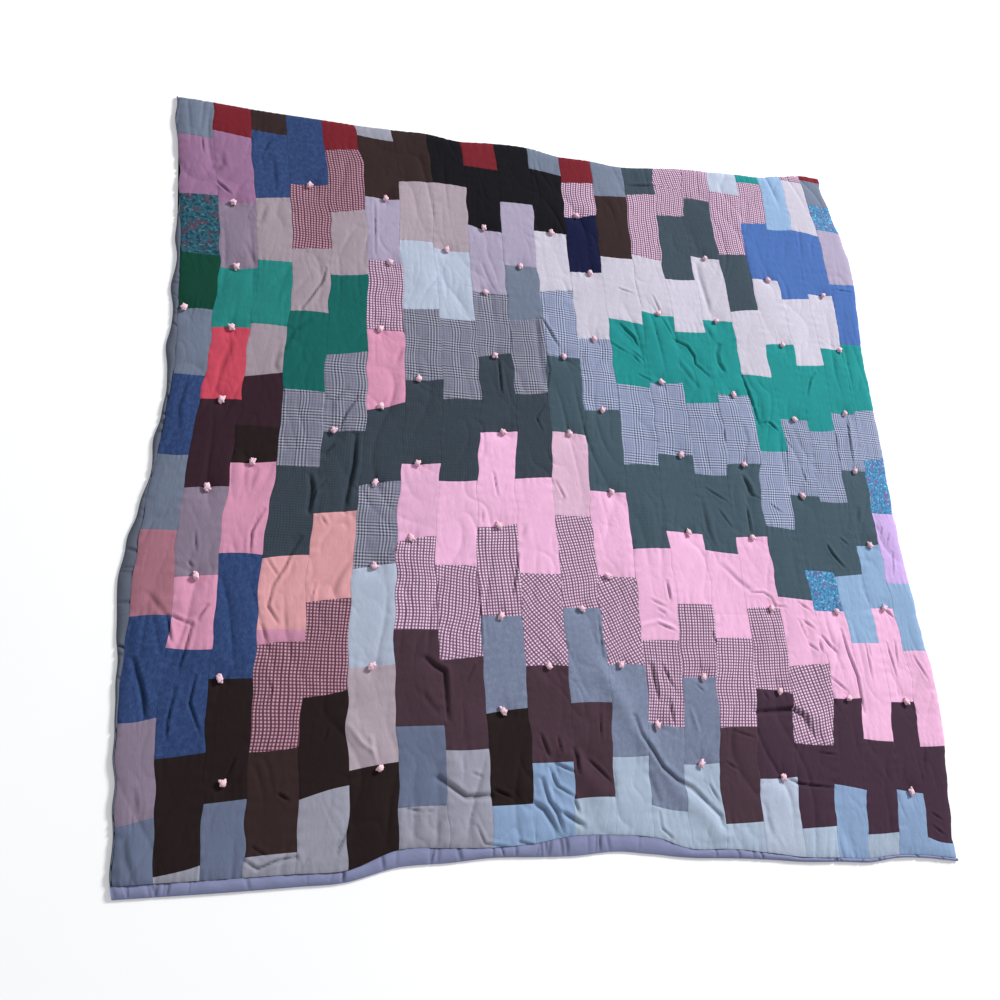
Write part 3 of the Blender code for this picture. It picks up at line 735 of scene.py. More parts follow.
@dataclass
class SheetGrid:
    """A closed sheet: a grid of places for its face, over a flat underside."""

    x: np.ndarray
    y: np.ndarray
    top: np.ndarray
    under: float
    grain: np.ndarray
    lot: np.ndarray
    slots: np.ndarray

    def outline(self) -> np.ndarray:
        """The face's rim, as point numbers in order round it."""
        rows, columns = self.x.shape
        numbers = np.arange(rows * columns).reshape(rows, columns)
        return np.concatenate([numbers[0, :-1], numbers[:-1, -1], numbers[-1, :0:-1], numbers[:0:-1, 0]])

    def build(self, name: str, materials: list[bpy.types.Material]) -> bpy.types.Object:
        """Make the sheet's object.

        Args:
            name: The piece's name.
            materials: The materials that the slots number.

        Returns:
            The new object.
        """
        rows, columns = self.x.shape
        count = rows * columns
        rim = self.outline()
        points = np.stack([self.x.ravel(), self.y.ravel(), self.top.ravel()], axis=1)
        under = points[rim].copy()
        under[:, 2] = self.under
        numbers = np.arange(count).reshape(rows, columns)
        face = np.stack([numbers[:-1, :-1], numbers[1:, :-1], numbers[1:, 1:], numbers[:-1, 1:]], axis=-1)
        face = face.reshape(-1, 4)
        low = count + np.arange(len(rim))
        wall = np.stack([rim, np.roll(rim, -1), np.roll(low, -1), low], axis=1)
        loops = np.concatenate([face.ravel(), wall.ravel(), low[::-1]])
        sizes = np.concatenate([np.full(len(face) + len(wall), 4), [len(rim)]])

        mesh = bpy.data.meshes.new(name)
        mesh.vertices.add(count + len(rim))
        mesh.vertices.foreach_set("co", np.concatenate([points, under]).astype(np.float32).ravel())
        mesh.loops.add(len(loops))
        mesh.loops.foreach_set("vertex_index", loops.astype(np.int32))
        mesh.polygons.add(len(sizes))
        starts = np.concatenate([[0], np.cumsum(sizes)[:-1]])
        mesh.polygons.foreach_set("loop_start", starts.astype(np.int32))
        mesh.polygons.foreach_set("material_index", self.face_slots(len(wall)).astype(np.int32))
        mesh.update(calc_edges=True)
        edge = points[rim, :2]
        after = np.roll(edge, -1, axis=0)
        sides = np.stack([edge, after, after, edge], axis=1).reshape(-1, 2)
        write_map(mesh, GRAIN_MAP, np.concatenate([self.grain.reshape(-1, 2), sides, edge[::-1]]))
        hidden = np.tile(self.lot[0, 0, 0], (len(sides) + len(edge), 1))
        write_map(mesh, LOT_MAP, np.concatenate([self.lot.reshape(-1, 2), hidden]))
        for material in materials:
            mesh.materials.append(material)
        mesh.shade_smooth()
        mesh.set_sharp_from_angle(angle=SHARP_FOLD)
        return show(name, mesh)

    def face_slots(self, walls: int) -> np.ndarray:
        """The material slot of each face, with the walls and the underside in the first one."""
        return np.concatenate([self.slots.ravel(), np.zeros(walls + 1)])


def corner_values(values: np.ndarray) -> np.ndarray:
    """Spread values at a grid's points to its faces' corners.

    Args:
        values: Values by row, column and axis.

    Returns:
        Values by face row, face column, corner and axis.
    """
    return np.stack([values[:-1, :-1], values[1:, :-1], values[1:, 1:], values[:-1, 1:]], axis=2)


# ---- shader nodes ----
Socket = bpy.types.NodeSocket


@dataclass
class Shader:
    """A node tree, with short ways to add to it."""

    tree: bpy.types.NodeTree

    def node(self, kind: str, **settings: object) -> bpy.types.Node:
        """Add a node and set its properties."""
        made = self.tree.nodes.new(kind)
        for name, value in settings.items():
            setattr(made, name, value)
        return made

    def feed(self, target: Socket, value: object) -> None:
        """Link a socket to an input, or set the input's own value.

        Args:
            target: The input.
            value: A socket, or a plain value.
        """
        if isinstance(value, bpy.types.NodeSocket):
            self.tree.links.new(value, target)
        else:
            target.default_value = value

    def maths(self, operation: str, *values: object, clamp: bool = False) -> Socket:
        """Add a Math node.

        Args:
            operation: The node's operation.
            values: Its inputs, as sockets or numbers.
            clamp: Whether the result is kept from 0 to 1.

        Returns:
            The result.
        """
        made = self.node("ShaderNodeMath", operation=operation, use_clamp=clamp)
        for target, value in zip(made.inputs, values):
            self.feed(target, value)
        return made.outputs[0]

    def less_half(self, value: object) -> Socket:
        """Take one half from a value, so that one from 0 to 1 swings about 0."""
        return self.maths("SUBTRACT", value, 0.5)

    def vector(self, operation: str, place: Socket, by: tuple[float, float, float]) -> Socket:
        """Stretch a place with MULTIPLY, or move it with ADD."""
        made = self.node("ShaderNodeVectorMath", operation=operation)
        self.feed(made.inputs[0], place)
        made.inputs[1].default_value = by
        return made.outputs[0]

    def mix(self, share: object, first: object, second: object, blend: str = "MIX") -> Socket:
        """Mix two colours.

        Args:
            share: How much of the second, from 0 to 1.
            first: A colour.
            second: A colour.
            blend: The node's blend type.

        Returns:
            The mixed colour.
        """
        made = self.node("ShaderNodeMix", data_type="RGBA", blend_type=blend)
        self.feed(made.inputs["Factor"], share)
        self.feed(made.inputs[6], first)
        self.feed(made.inputs[7], second)
        return made.outputs[2]

    def ease(self, value: object, low: float, high: float) -> Socket:
        """Ease a value from 0 at low to 1 at high."""
        made = self.node("ShaderNodeMapRange", interpolation_type="SMOOTHSTEP")
        self.feed(made.inputs["Value"], value)
        made.inputs["From Min"].default_value = low
        made.inputs["From Max"].default_value = high
        return made.outputs["Result"]

    def noise(self, place: Socket, scale: float, detail: float = 2.0, roughness: float = 0.5) -> Socket:
        """Add a noise texture and give its value."""
        made = self.node("ShaderNodeTexNoise")
        self.feed(made.inputs["Vector"], place)
        made.inputs["Scale"].default_value = scale
        made.inputs["Detail"].default_value = detail
        made.inputs["Roughness"].default_value = roughness
        return made.outputs[0]

    def split(self, place: Socket) -> tuple[Socket, Socket]:
        """The first two parts of a vector."""
        made = self.node("ShaderNodeSeparateXYZ")
        self.feed(made.inputs[0], place)
        return made.outputs[0], made.outputs[1]

    def map(self, name: str) -> Socket:
        """A named UV map."""
        return self.node("ShaderNodeUVMap", uv_map=name).outputs[0]

    def group(self, group: bpy.types.NodeTree, **values: object) -> bpy.types.Node:
        """Place a shared effect.

        Args:
            group: The effect's node group.
            values: Its inputs by name, with _ for a space.

        Returns:
            The group's node.
        """
        made = self.node("ShaderNodeGroup", node_tree=group)
        for name, value in values.items():
            self.feed(made.inputs[name.replace("_", " ")], value)
        return made


def linear(colour: Colour) -> tuple[float, float, float, float]:
    """Turn a colour as the eye reads it, 0 to 255, into a shader's colour."""
    parts = [(part / 255 / 12.92) if part < 11 else ((part / 255 + 0.055) / 1.055) ** 2.4 for part in colour]
    return (*parts, 1.0)


class Effects:
    """The effects that several finishes share, each a node group that is built once."""

    SLUB_STRETCH = (1.0, 9.0, 1.0)
    SLUB_SCALE = 160.0
    SLUB_HEIGHT = 0.6           # as a share of the threads' own
    BROAD_FADE = 14.0           # noise scales, in blotches to the metre
    CLOUDY_FADE = 70.0
    CLOUDY_SHARE = 0.5
    LOT_SHARE = 0.7
    CRINKLE_STRETCH = (1.0, 0.55, 1.0)
    CRINKLE_SCALES = (70.0, 150.0)
    STRIPE_EDGE = 0.06          # half of a stripe's soft edge, as a share of its pitch

    def __init__(self) -> None:
        """Build the groups."""
        self.weave = self.build_weave()
        self.wear_and_painted_shade = self.build_wear_and_painted_shade()
        self.stripe = self.build_stripe()
        self.crinkle = self.build_crinkle()

    @staticmethod
    def start(name: str, inputs: dict[str, str], outputs: tuple[str, ...]) -> tuple[Shader, dict, dict]:
        """Start a node group.

        Args:
            name: The group's name.
            inputs: The socket type of each input.
            outputs: The names of its value outputs.

        Returns:
            The group's shader, its inputs by name, and its output node's sockets by name.
        """
        tree = bpy.data.node_groups.new(name, "ShaderNodeTree")
        for label, kind in inputs.items():
            tree.interface.new_socket(label, in_out="INPUT", socket_type=kind)
        for label in outputs:
            tree.interface.new_socket(label, in_out="OUTPUT", socket_type="NodeSocketFloat")
        shader = Shader(tree)
        given = shader.node("NodeGroupInput").outputs
        wanted = shader.node("NodeGroupOutput").inputs
        return shader, {label: given[label] for label in inputs}, {label: wanted[label] for label in outputs}

    def build_weave(self) -> bpy.types.NodeTree:
        """Crossing threads: a bump height, and the shade of uneven yarn."""
        shader, given, wanted = self.start(
            "thread_weave",
            {"Grain": "NodeSocketVector", "Pitch": "NodeSocketFloat", "Slub": "NodeSocketFloat"},
            ("Height", "Shade"))
        x, y = shader.split(given["Grain"])
        turns = shader.maths("DIVIDE", 2 * math.pi, given["Pitch"])
        warp = shader.maths("SINE", shader.maths("MULTIPLY", x, turns))
        weft = shader.maths("SINE", shader.maths("MULTIPLY", y, turns))
        cross = shader.maths("MULTIPLY_ADD", shader.maths("MULTIPLY", warp, weft), 0.5, 0.5)
        streaks = shader.vector("MULTIPLY", given["Grain"], self.SLUB_STRETCH)
        slub = shader.noise(streaks, self.SLUB_SCALE, detail=3.0, roughness=0.6)
        shader.feed(wanted["Height"], shader.maths("MULTIPLY_ADD", slub, self.SLUB_HEIGHT, cross))
        uneven = shader.maths("MULTIPLY", shader.less_half(slub), given["Slub"])
        shader.feed(wanted["Shade"], shader.maths("ADD", 1.0, uneven))
        return shader.tree

    def build_wear_and_painted_shade(self) -> bpy.types.NodeTree:
        """Age and painted shade: each patch's own shade, soft fading, and painted shade along seams and
        creases.
        """
        shader, given, wanted = self.start(
            "worn_cloth_and_painted_shade",
            {"Grain": "NodeSocketVector", "Lot": "NodeSocketVector", "Fade": "NodeSocketFloat"},
            ("Shade",))
        lot, painted_shade_factor = shader.split(given["Lot"])
        broad = shader.less_half(shader.noise(given["Grain"], self.BROAD_FADE, detail=3.0))
        cloudy = shader.less_half(shader.noise(given["Grain"], self.CLOUDY_FADE))
        change = shader.maths("MULTIPLY_ADD", cloudy, self.CLOUDY_SHARE, broad)
        change = shader.maths("MULTIPLY_ADD", shader.less_half(lot), self.LOT_SHARE, change)
        shade = shader.maths("MULTIPLY_ADD", change, given["Fade"], 1.0)
        # Painted shade: the lot map's second part darkens the cloth along seams and in sharp creases.
        shader.feed(wanted["Shade"], shader.maths("MULTIPLY", shade, painted_shade_factor))
        return shader.tree

    def build_crinkle(self) -> bpy.types.NodeTree:
        """Small creases of washed cloth, too fine for the mesh: a bump height."""
        shader, given, wanted = self.start(
            "crinkled_cloth", {"Grain": "NodeSocketVector", "Amount": "NodeSocketFloat"}, ("Height",))
        long = shader.vector("MULTIPLY", given["Grain"], self.CRINKLE_STRETCH)
        broad, small = (shader.maths("ABSOLUTE", shader.less_half(shader.noise(long, scale, detail=1.0)))
                        for scale in self.CRINKLE_SCALES)
        fine = shader.maths("MULTIPLY_ADD", small, 0.5, broad)
        shader.feed(wanted["Height"], shader.maths("MULTIPLY", fine, given["Amount"]))
        return shader.tree

    def build_stripe(self) -> bpy.types.NodeTree:
        """A soft-edged woven stripe: 1 in the stripe and 0 between stripes."""
        shader, given, wanted = self.start(
            "woven_stripe",
            {"Place": "NodeSocketFloat", "Pitch": "NodeSocketFloat", "Share": "NodeSocketFloat"},
            ("Mask",))
        turn = shader.maths("FRACT", shader.maths("DIVIDE", given["Place"], given["Pitch"]))
        off = shader.maths("ABSOLUTE", shader.less_half(turn))
        inside = shader.maths("SUBTRACT", shader.maths("MULTIPLY", given["Share"], 0.5), off)
        shader.feed(wanted["Mask"], shader.ease(inside, -self.STRIPE_EDGE, self.STRIPE_EDGE))
        return shader.tree

    def stripes(self, shader: Shader, place: Socket, pitch: float, share: float) -> Socket:
        """Place woven stripes in a material, each as wide as its share of the pitch."""
        return shader.group(self.stripe, Place=place, Pitch=pitch, Share=share).outputs[0]


# ---- finishes ----
@dataclass(frozen=True)
class Finish:
    """A plain woven cloth, and what every other cloth's finish starts from."""

    colour: Colour
    thread: float = 0.0009
    slub: float = 0.16
    fade: float = 0.16
    crinkle: float = 0.9
    limp: float = 1.0           # how much the cloth crumples
    roughness: float = 0.92
    shine: float = 0.10
    thread_height: float = 0.08         # millimetres

    def pattern(self, shader: Shader, effects: Effects, grain: Socket) -> object:
        """The cloth's colour before wear: here one dye.

        Args:
            shader: The material's nodes.
            effects: The shared effects.
            grain: The cloth's own coordinates, in metres.

        Returns:
            A colour or a socket of colour.
        """
        return linear(self.colour)

    def material(self, name: str, effects: Effects) -> bpy.types.Material:
        """Build the cloth's material.

        Args:
            name: The material's name.
            effects: The shared effects.

        Returns:
            The material.
        """
        material = bpy.data.materials.new(name)
        material.use_nodes = True
        shader = Shader(material.node_tree)
        principled = material.node_tree.nodes["Principled BSDF"]
        grain, lot = shader.map(GRAIN_MAP), shader.map(LOT_MAP)
        weave = shader.group(effects.weave, Grain=grain, Pitch=self.thread, Slub=self.slub)
        wear_and_painted_shade = shader.group(effects.wear_and_painted_shade, Grain=grain, Lot=lot, Fade=self.fade)
        crinkle = shader.group(effects.crinkle, Grain=grain, Amount=self.crinkle)
        shade = shader.maths("MULTIPLY", weave.outputs["Shade"], wear_and_painted_shade.outputs["Shade"])
        tone = shader.node("ShaderNodeCombineColor")
        for target in tone.inputs:
            shader.feed(target, shade)
        dyed = shader.mix(1.0, self.pattern(shader, effects, grain), tone.outputs[0], blend="MULTIPLY")
        shader.feed(principled.inputs["Base Color"], dyed)
        principled.inputs["Roughness"].default_value = self.roughness
        principled.inputs["Specular IOR Level"].default_value = self.shine
        bump = shader.node("ShaderNodeBump")
        bump.inputs["Strength"].default_value = 1.0
        bump.inputs["Distance"].default_value = MILLIMETRE
        threads = shader.maths("MULTIPLY", weave.outputs["Height"], self.thread_height)
        shader.feed(bump.inputs["Height"], shader.maths("ADD", threads, crinkle.outputs["Height"]))
        shader.feed(principled.inputs["Normal"], bump.outputs[0])
        return material


@dataclass(frozen=True, kw_only=True)
class Gingham(Finish):
    """A small check of pale dots between darker lines, with every second upright line darkest."""

    line: Colour
    dark: Colour
    pitch: float = 0.0062
    warp_share: float = 0.50    # how wide the lines are, as shares of their pitch
    weft_share: float = 0.46
    deep_share: float = 0.24
    crossing: float = 0.7       # how dark two lines are where they cross, and a darkest line
    depth: float = 0.75
    limp: float = 0.8

    def pattern(self, shader: Shader, effects: Effects, grain: Socket) -> Socket:
        """Pale dots where no line lies, the line's colour on a line, dark where two cross."""
        x, y = shader.split(grain)
        warp = effects.stripes(shader, x, self.pitch, self.warp_share)
        weft = effects.stripes(shader, y, self.pitch, self.weft_share)
        shifted = shader.maths("ADD", x, 0.5 * self.pitch)
        deep = effects.stripes(shader, shifted, 2 * self.pitch, self.deep_share)
        lined = shader.mix(shader.maths("MAXIMUM", warp, weft), linear(self.colour), linear(self.line))
        crossed = shader.maths("MULTIPLY", shader.maths("MULTIPLY", warp, weft), self.crossing)
        darker = shader.maths("MAXIMUM", crossed, shader.maths("MULTIPLY", deep, self.depth))
        return shader.mix(darker, lined, linear(self.dark))


@dataclass(frozen=True)
class GlenPlaid(Finish):
    """A grey suiting with crossing bands of fine light and dark lines."""

    dark: Colour = (44, 48, 82)
    light: Colour = (222, 228, 246)
    repeat_across: float = 0.047
    repeat_down: float = 0.062
    band_share: float = 0.48
    line: float = 0.0062        # pitches of the lines in a band and of the finest ones
    hair: float = 0.0021
    contrast: float = 0.62
    hair_contrast: float = 0.12
    dark_gain: float = 1.6      # how much stronger the dark lines are than the light ones
    ground: float = 0.2         # how strongly the lines show between the bands
    limp: float = 0.9

    def pattern(self, shader: Shader, effects: Effects, grain: Socket) -> Socket:
        """Bands of lines each way over a finely mixed ground."""
        tones = []
        for place, repeat in zip(shader.split(grain), (self.repeat_across, self.repeat_down)):
            band = effects.stripes(shader, place, repeat, self.band_share)
            line = effects.stripes(shader, place, self.line, 0.5)
            hair = effects.stripes(shader, place, self.hair, 0.5)
            strength = shader.maths("MULTIPLY_ADD", band, 1 - self.ground, self.ground)
            swing = shader.maths("MULTIPLY", strength, shader.less_half(line))
            fine = shader.maths("MULTIPLY", shader.less_half(hair), self.hair_contrast)
            tones.append(shader.maths("MULTIPLY_ADD", swing, self.contrast, fine))
        total = shader.maths("ADD", *tones)
        lighter = shader.maths("MAXIMUM", total, 0.0)
        darker = shader.maths("MULTIPLY", shader.maths("MINIMUM", total, 0.0), -self.dark_gain, clamp=True)
        paler = shader.mix(lighter, linear(self.colour), linear(self.light))
        return shader.mix(darker, paler, linear(self.dark))


@dataclass(frozen=True, kw_only=True)
class FineCheck(Finish):
    """A dark suiting with a fine lighter check in its weave."""

    light: Colour
    pitch: float = 0.0052
    line_share: float = 0.42
    strength: float = 0.34
    limp: float = 0.6

    def pattern(self, shader: Shader, effects: Effects, grain: Socket) -> Socket:
        """Pale threads that cross on a dark ground."""
        lines = [effects.stripes(shader, place, self.pitch, self.line_share)
                 for place in shader.split(grain)]
        tone = shader.maths("MULTIPLY", shader.maths("ADD", *lines), 0.5 * self.strength)
        return shader.mix(tone, linear(self.colour), linear(self.light))


@dataclass(frozen=True, kw_only=True)
class Flecked(Finish):
    """Denim or chambray: dyed and undyed threads that mix in flecks."""

    light: Colour
    fleck: float = 420.0        # noise scale
    fleck_stretch: tuple[float, float, float] = (1.0, 0.35, 1.0)
    fleck_ends: tuple[float, float] = (0.42, 0.72)
    blotch: float = 0.25        # the scale of broader blotches, as a share of the flecks'
    blotch_ends: tuple[float, float] = (0.35, 0.7)
    strength: float = 0.4

    def pattern(self, shader: Shader, effects: Effects, grain: Socket) -> Socket:
        """Pale flecks, streaked along the threads."""
        streaks = shader.vector("MULTIPLY", grain, self.fleck_stretch)
        fine = shader.ease(shader.noise(streaks, self.fleck), *self.fleck_ends)
        blotch = shader.ease(shader.noise(grain, self.blotch * self.fleck), *self.blotch_ends)
        tone = shader.maths("MULTIPLY", shader.maths("ADD", fine, blotch), 0.5 * self.strength)
        return shader.mix(tone, linear(self.colour), linear(self.light))


@dataclass(frozen=True)
class Print(Finish):
    """A small scattered flower and leaf print, blurred by washing."""

    leaf: Colour = (58, 108, 150)
    bloom: Colour = (128, 96, 150)
    heart: Colour = (130, 205, 230)
    scale: float = 150.0
    soft_edge: float = 0.07
    ink: float = 0.8

    def pattern(self, shader: Shader, effects: Effects, grain: Socket) -> Socket:
        """Leaves, blooms and light petals scattered over the ground."""
        ground: object = linear(self.colour)
        # Each colour's shift on the bolt, scale, level above which it prints, and dye.
        for shift, scale, low, colour in (
                (0.0, self.scale, 0.50, self.leaf),
                (0.37, 0.55 * self.scale, 0.58, self.bloom),
                (0.71, 1.2 * self.scale, 0.60, self.heart)):
            moved = shader.vector("ADD", grain, (shift, -shift, shift))
            share = shader.ease(shader.noise(moved, scale, detail=1.0), low, low + self.soft_edge)
            ground = shader.mix(shader.maths("MULTIPLY", share, self.ink), ground, linear(colour))
        return ground


@dataclass(frozen=True)
class Yarn(Finish):
    """Fuzzy wool yarn."""

    tip: Colour = (250, 225, 235)
    fibre: float = 900.0        # noise scale
    fibre_ends: tuple[float, float] = (0.35, 0.65)

    def pattern(self, shader: Shader, effects: Effects, grain: Socket) -> Socket:
        """Paler fibres among the dyed ones."""
        fibres = shader.ease(shader.noise(grain, self.fibre, detail=3.0), *self.fibre_ends)
        return shader.mix(fibres, linear(self.colour), linear(self.tip))


FINISHES = {
    Cloth.SLATE: Finish((115, 125, 145)),
    Cloth.STEEL: Finish((105, 115, 140)),
    Cloth.MAUVE: Finish((155, 115, 150), slub=0.3, limp=1.2),
    Cloth.PAISLEY: Print((50, 95, 110), leaf=(30, 55, 80), bloom=(95, 65, 85), heart=(75, 130, 140),
                         scale=120.0),
    Cloth.FOREST: Finish((20, 70, 55)),
    Cloth.DENIM: Flecked((45, 65, 110), light=(80, 105, 150)),
    Cloth.ROSE: Finish((170, 115, 130)),
    Cloth.HEATHER: Finish((140, 125, 145)),
    Cloth.RED: Finish((120, 35, 45), limp=1.2),
    Cloth.CORAL: Finish((200, 75, 95), limp=1.2),
    # Jade and spruce are darker copies of the green for the dimmer left strips: painted shade.
    Cloth.JADE: Finish((40, 130, 125)),
    Cloth.SPRUCE: Finish((25, 100, 95)),
    Cloth.GREEN: Finish((35, 140, 140)),
    Cloth.PLUM: Finish((70, 50, 65)),
    Cloth.DAMSON: Finish((55, 35, 45)),
    Cloth.EARTH: Finish((40, 30, 30)),
    Cloth.BROWN: Finish((55, 40, 40)),
    Cloth.COCOA: Finish((75, 55, 65)),
    Cloth.BLACK: Finish((20, 20, 25)),
    Cloth.NAVY: Finish((20, 25, 60)),
    Cloth.ROYAL: Finish((75, 110, 175)),
    Cloth.LILAC: Finish((170, 160, 185)),
    Cloth.ORCHID: Finish((205, 175, 230), limp=1.3),
    Cloth.BLUSH: Finish((215, 150, 180), limp=1.3),
    Cloth.PINK: Finish((240, 185, 220), limp=0.8),
    Cloth.DUSTY: Finish((225, 185, 210), limp=0.4),
    Cloth.PEACH: Finish((220, 160, 165), limp=1.2),
    Cloth.TAUPE: Finish((165, 150, 160)),
    Cloth.BEIGE: Finish((175, 160, 170), limp=0.5),
    Cloth.ASH: Finish((155, 155, 170), limp=1.4),
    Cloth.PALE: Finish((170, 185, 205), limp=1.2),
    Cloth.ICE: Finish((180, 190, 210), limp=1.2),
    Cloth.SKY: Finish((145, 175, 210)),
    Cloth.POWDER: Finish((140, 165, 200), limp=1.3),
    Cloth.CREAM: Finish((200, 195, 210), limp=0.45),
    Cloth.CHAMBRAY: Flecked((120, 130, 155), light=(150, 160, 185), limp=0.7),
    Cloth.FLORAL: Print((80, 140, 185)),
    # A darker copy of the worsted for the dimmer left strips: painted shade.
    Cloth.SUITING: FineCheck((55, 65, 75), light=(80, 90, 100)),
    Cloth.WORSTED: FineCheck((65, 85, 95), light=(90, 105, 120)),
    Cloth.TWEED: FineCheck((60, 75, 85), light=(80, 90, 105)),
    # A darker copy of the glen plaid for the dimmer left strips: painted shade.
    Cloth.PLAID: GlenPlaid((125, 125, 145), dark=(40, 40, 60), light=(205, 210, 220)),
    Cloth.GLEN: GlenPlaid((140, 150, 180)),
    # A darker copy of the check for the dimmer left strips: painted shade.
    Cloth.MADDER: Gingham((205, 165, 180), line=(125, 85, 100), dark=(85, 40, 60)),
    Cloth.CHECK: Gingham((240, 220, 240), line=(160, 120, 150), dark=(100, 60, 85)),
}
COMMON_LIMPNESS = 0.7           # what two cloths share where they are sewn together
BINDING_FINISH = Finish((135, 140, 175), slub=0.1)
SIDE_BINDING_FINISH = Finish((95, 100, 115), slub=0.1)
BACKING_FINISH = Finish((150, 155, 180), slub=0.1)
YARN_FINISH = Yarn((235, 180, 200), thread=0.0022, slub=0.3)


# ---- the pieced strips ----
@dataclass(frozen=True)
class Patch:
    """One scrap: its cloth, its lower seam's two ends in metres down, its turn and its shade."""

    cloth: Cloth
    seam_ends: tuple[float, float] | None
    turn: float
    shade: int

    @staticmethod
    def read(entry: str) -> "Patch":
        """Read one entry of the cutting list.

        Args:
            entry: Such as "plaid@3 54.0/53.0", or only a cloth for a strip's last patch.

        Returns:
            The patch.
        """
        name, *seam = entry.split()
        name, _, turn = name.partition("@")
        ends = [float(end) * CENTIMETRE for text in seam for end in text.split("/")]
        return Patch(
            cloth=Cloth(name.rstrip("-")),
            seam_ends=(ends[0], ends[-1]) if ends else None,
            turn=math.radians(float(turn or 0)),
            shade=-name.count("-"))


@dataclass
class PiecedStrips:
    """The 21 strips of the quilt's face, each sewn end to end from its patches."""

    lay: Lay
    relief: Relief
    effects: Effects
    cell: float = 0.0030
    under: float = 0.0009
    thinnest: float = 0.0003
    seam_inset: float = 0.00008
    seam_steps: tuple[float, ...] = (0.0, 0.0012, 0.0030)
    seam_share: float = 0.4     # how much of a side the closer steps may take
    shortest_patch: float = 0.008
    ditch: float = 0.00018
    ditch_width: float = 0.0017
    pillow: float = 0.0002
    pillow_reach: float = 0.012
    allowance: float = 0.00012
    allowance_width: float = 0.0065
    allowance_edge: float = 0.001
    gather: float = 0.00026     # across the short seams, and puckers across the long ones
    gather_length: float = 0.017
    gather_reach: float = 0.014
    gather_seed: int = 40
    pucker: float = 0.00024
    pucker_length: float = 0.021
    pucker_reach: float = 0.012
    pucker_seed: int = 50
    pucker_spread: float = 0.25
    pucker_stretch: float = 0.35
    edge_round: float = 0.0028
    seam_bow: float = 0.0026
    seam_painted_shade: float = 0.015    # how much painted shade darkens the seams and the sharp creases
    crease_painted_shade: float = 0.42
    blend_reach: float = 0.010
    lot_step: float = 0.7
    lot_spread: float = 0.25
    grain_wander: float = 0.045
    bolt_length: float = 3.0
    seed: int = 21
    materials: dict[Cloth, bpy.types.Material] = field(default_factory=dict)

    def dress(self) -> None:
        """Make each cloth's material once."""
        for cloth, finish in FINISHES.items():
            self.materials[cloth] = finish.material(f"cloth_{cloth.value}", self.effects)

    def steps(self, length: float) -> np.ndarray:
        """Places along a side of a patch, closer together near its seams.

        Args:
            length: The side's length.

        Returns:
            Places from 0 to 1.
        """
        near = np.array(self.seam_steps)
        near = near[near < self.seam_share * length]
        inner = length - 2 * near[-1]
        count = max(2, round(inner / self.cell))
        middle = near[-1] + inner * np.arange(1, count) / count
        return np.concatenate([near, middle, length - near[::-1]]) / length

    def build(self) -> list[bpy.types.Object]:
        """Build every strip."""
        rng = np.random.default_rng(self.seed)
        return [self.build_strip(number, rng) for number in sorted(CUTTING_LIST)]

    def build_strip(self, number: int, rng: np.random.Generator) -> bpy.types.Object:
        """Sew one strip.

        Args:
            number: The strip's number, from 1 at the left.
            rng: The source of each patch's small differences.

        Returns:
            The strip's object.
        """
        patches = [Patch.read(entry) for entry in CUTTING_LIST[number].split(",")]
        width = self.lay.strip_width
        offset = self.steps(width) * width
        offset[0] += self.seam_inset
        offset[-1] -= self.seam_inset
        across = number - 1 + offset / width
        lines = self.seam_lines(patches, across, rng)
        downs, owners, near_rows = [], [], []
        for index, (upper, lower) in enumerate(zip(lines, lines[1:])):
            shares = self.steps(float(np.mean(lower - upper)))
            if index:
                shares = shares[1:]
            downs.append(upper + shares[:, None] * (lower - upper))
            near_rows.append(np.minimum(shares[:, None], 1 - shares[:, None]) * (lower - upper))
            owners += [index] * len(shares)
        down = np.concatenate(downs)
        # A first row belongs to the first patch, and a shared seam row to the patch above it.
        face_owner = np.array(owners[1:])
        grid_across = np.broadcast_to(across, down.shape)
        near_side = np.broadcast_to(np.minimum(offset, width - offset), down.shape)
        near_row = np.concatenate(near_rows)
        limp = np.array([FINISHES[patches[owner].cloth].limp for owner in owners])
        inside = 1 - np.exp(-np.minimum(near_side, near_row) / self.blend_reach)
        limpness = COMMON_LIMPNESS + (limp[:, None] - COMMON_LIMPNESS) * inside
        height, groove = self.relief.face(grid_across, down, limpness)
        height = height + self.sewing(number, offset, down, near_side, near_row)
        height -= self.rounding(number, offset, down, lines[0])
        x, y = self.lay.place(grid_across, down)
        grain = self.grain(patches, offset, down, face_owner, rng)
        # Painted shade: the cloth's colour is darkened along its seams and in the grooves of sharp creases.
        seam = np.exp(-(np.minimum(near_side, near_row) / self.ditch_width) ** 2)
        painted_shade_factor = (1 - self.seam_painted_shade * seam) * (1 - self.crease_painted_shade * groove)
        lot = self.lot(patches, painted_shade_factor, face_owner, rng)
        cloths = list(dict.fromkeys(patch.cloth for patch in patches))
        slot = np.array([cloths.index(patches[owner].cloth) for owner in face_owner])
        slots = np.repeat(slot[:, None], len(offset) - 1, axis=1)
        height = np.maximum(height, self.under + self.thinnest)
        sheet = SheetGrid(x, y, height, self.under, grain, lot, slots)
        piece = sheet.build(f"strip_{number:02d}", [self.materials[cloth] for cloth in cloths])
        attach(piece, BODY)
        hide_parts("pieced_cloth")
        return piece

    def seam_lines(self, patches: list[Patch], across: np.ndarray,
                   rng: np.random.Generator) -> list[np.ndarray]:
        """The strip's ends and the seams between its patches.

        Args:
            patches: The strip's patches.
            across: The places across the strip.
            rng: The source of each seam's small bow.

        Returns:
            Metres down, across the strip, for each line from the top.
        """
        lines = [self.lay.edge("top", across)]
        share = (across - across[0]) / (across[-1] - across[0])
        for patch in patches[:-1]:
            left, right = patch.seam_ends
            bow = rng.uniform(-self.seam_bow, self.seam_bow) * np.sin(math.pi * share)
            line = left + (right - left) * share + bow
            lines.append(np.maximum(line, lines[-1] + self.shortest_patch))
        lines.append(self.lay.cloth_bottom(across) - self.lay.gap)
        lines[-2] = np.minimum(lines[-2], lines[-1] - self.shortest_patch)
        return lines

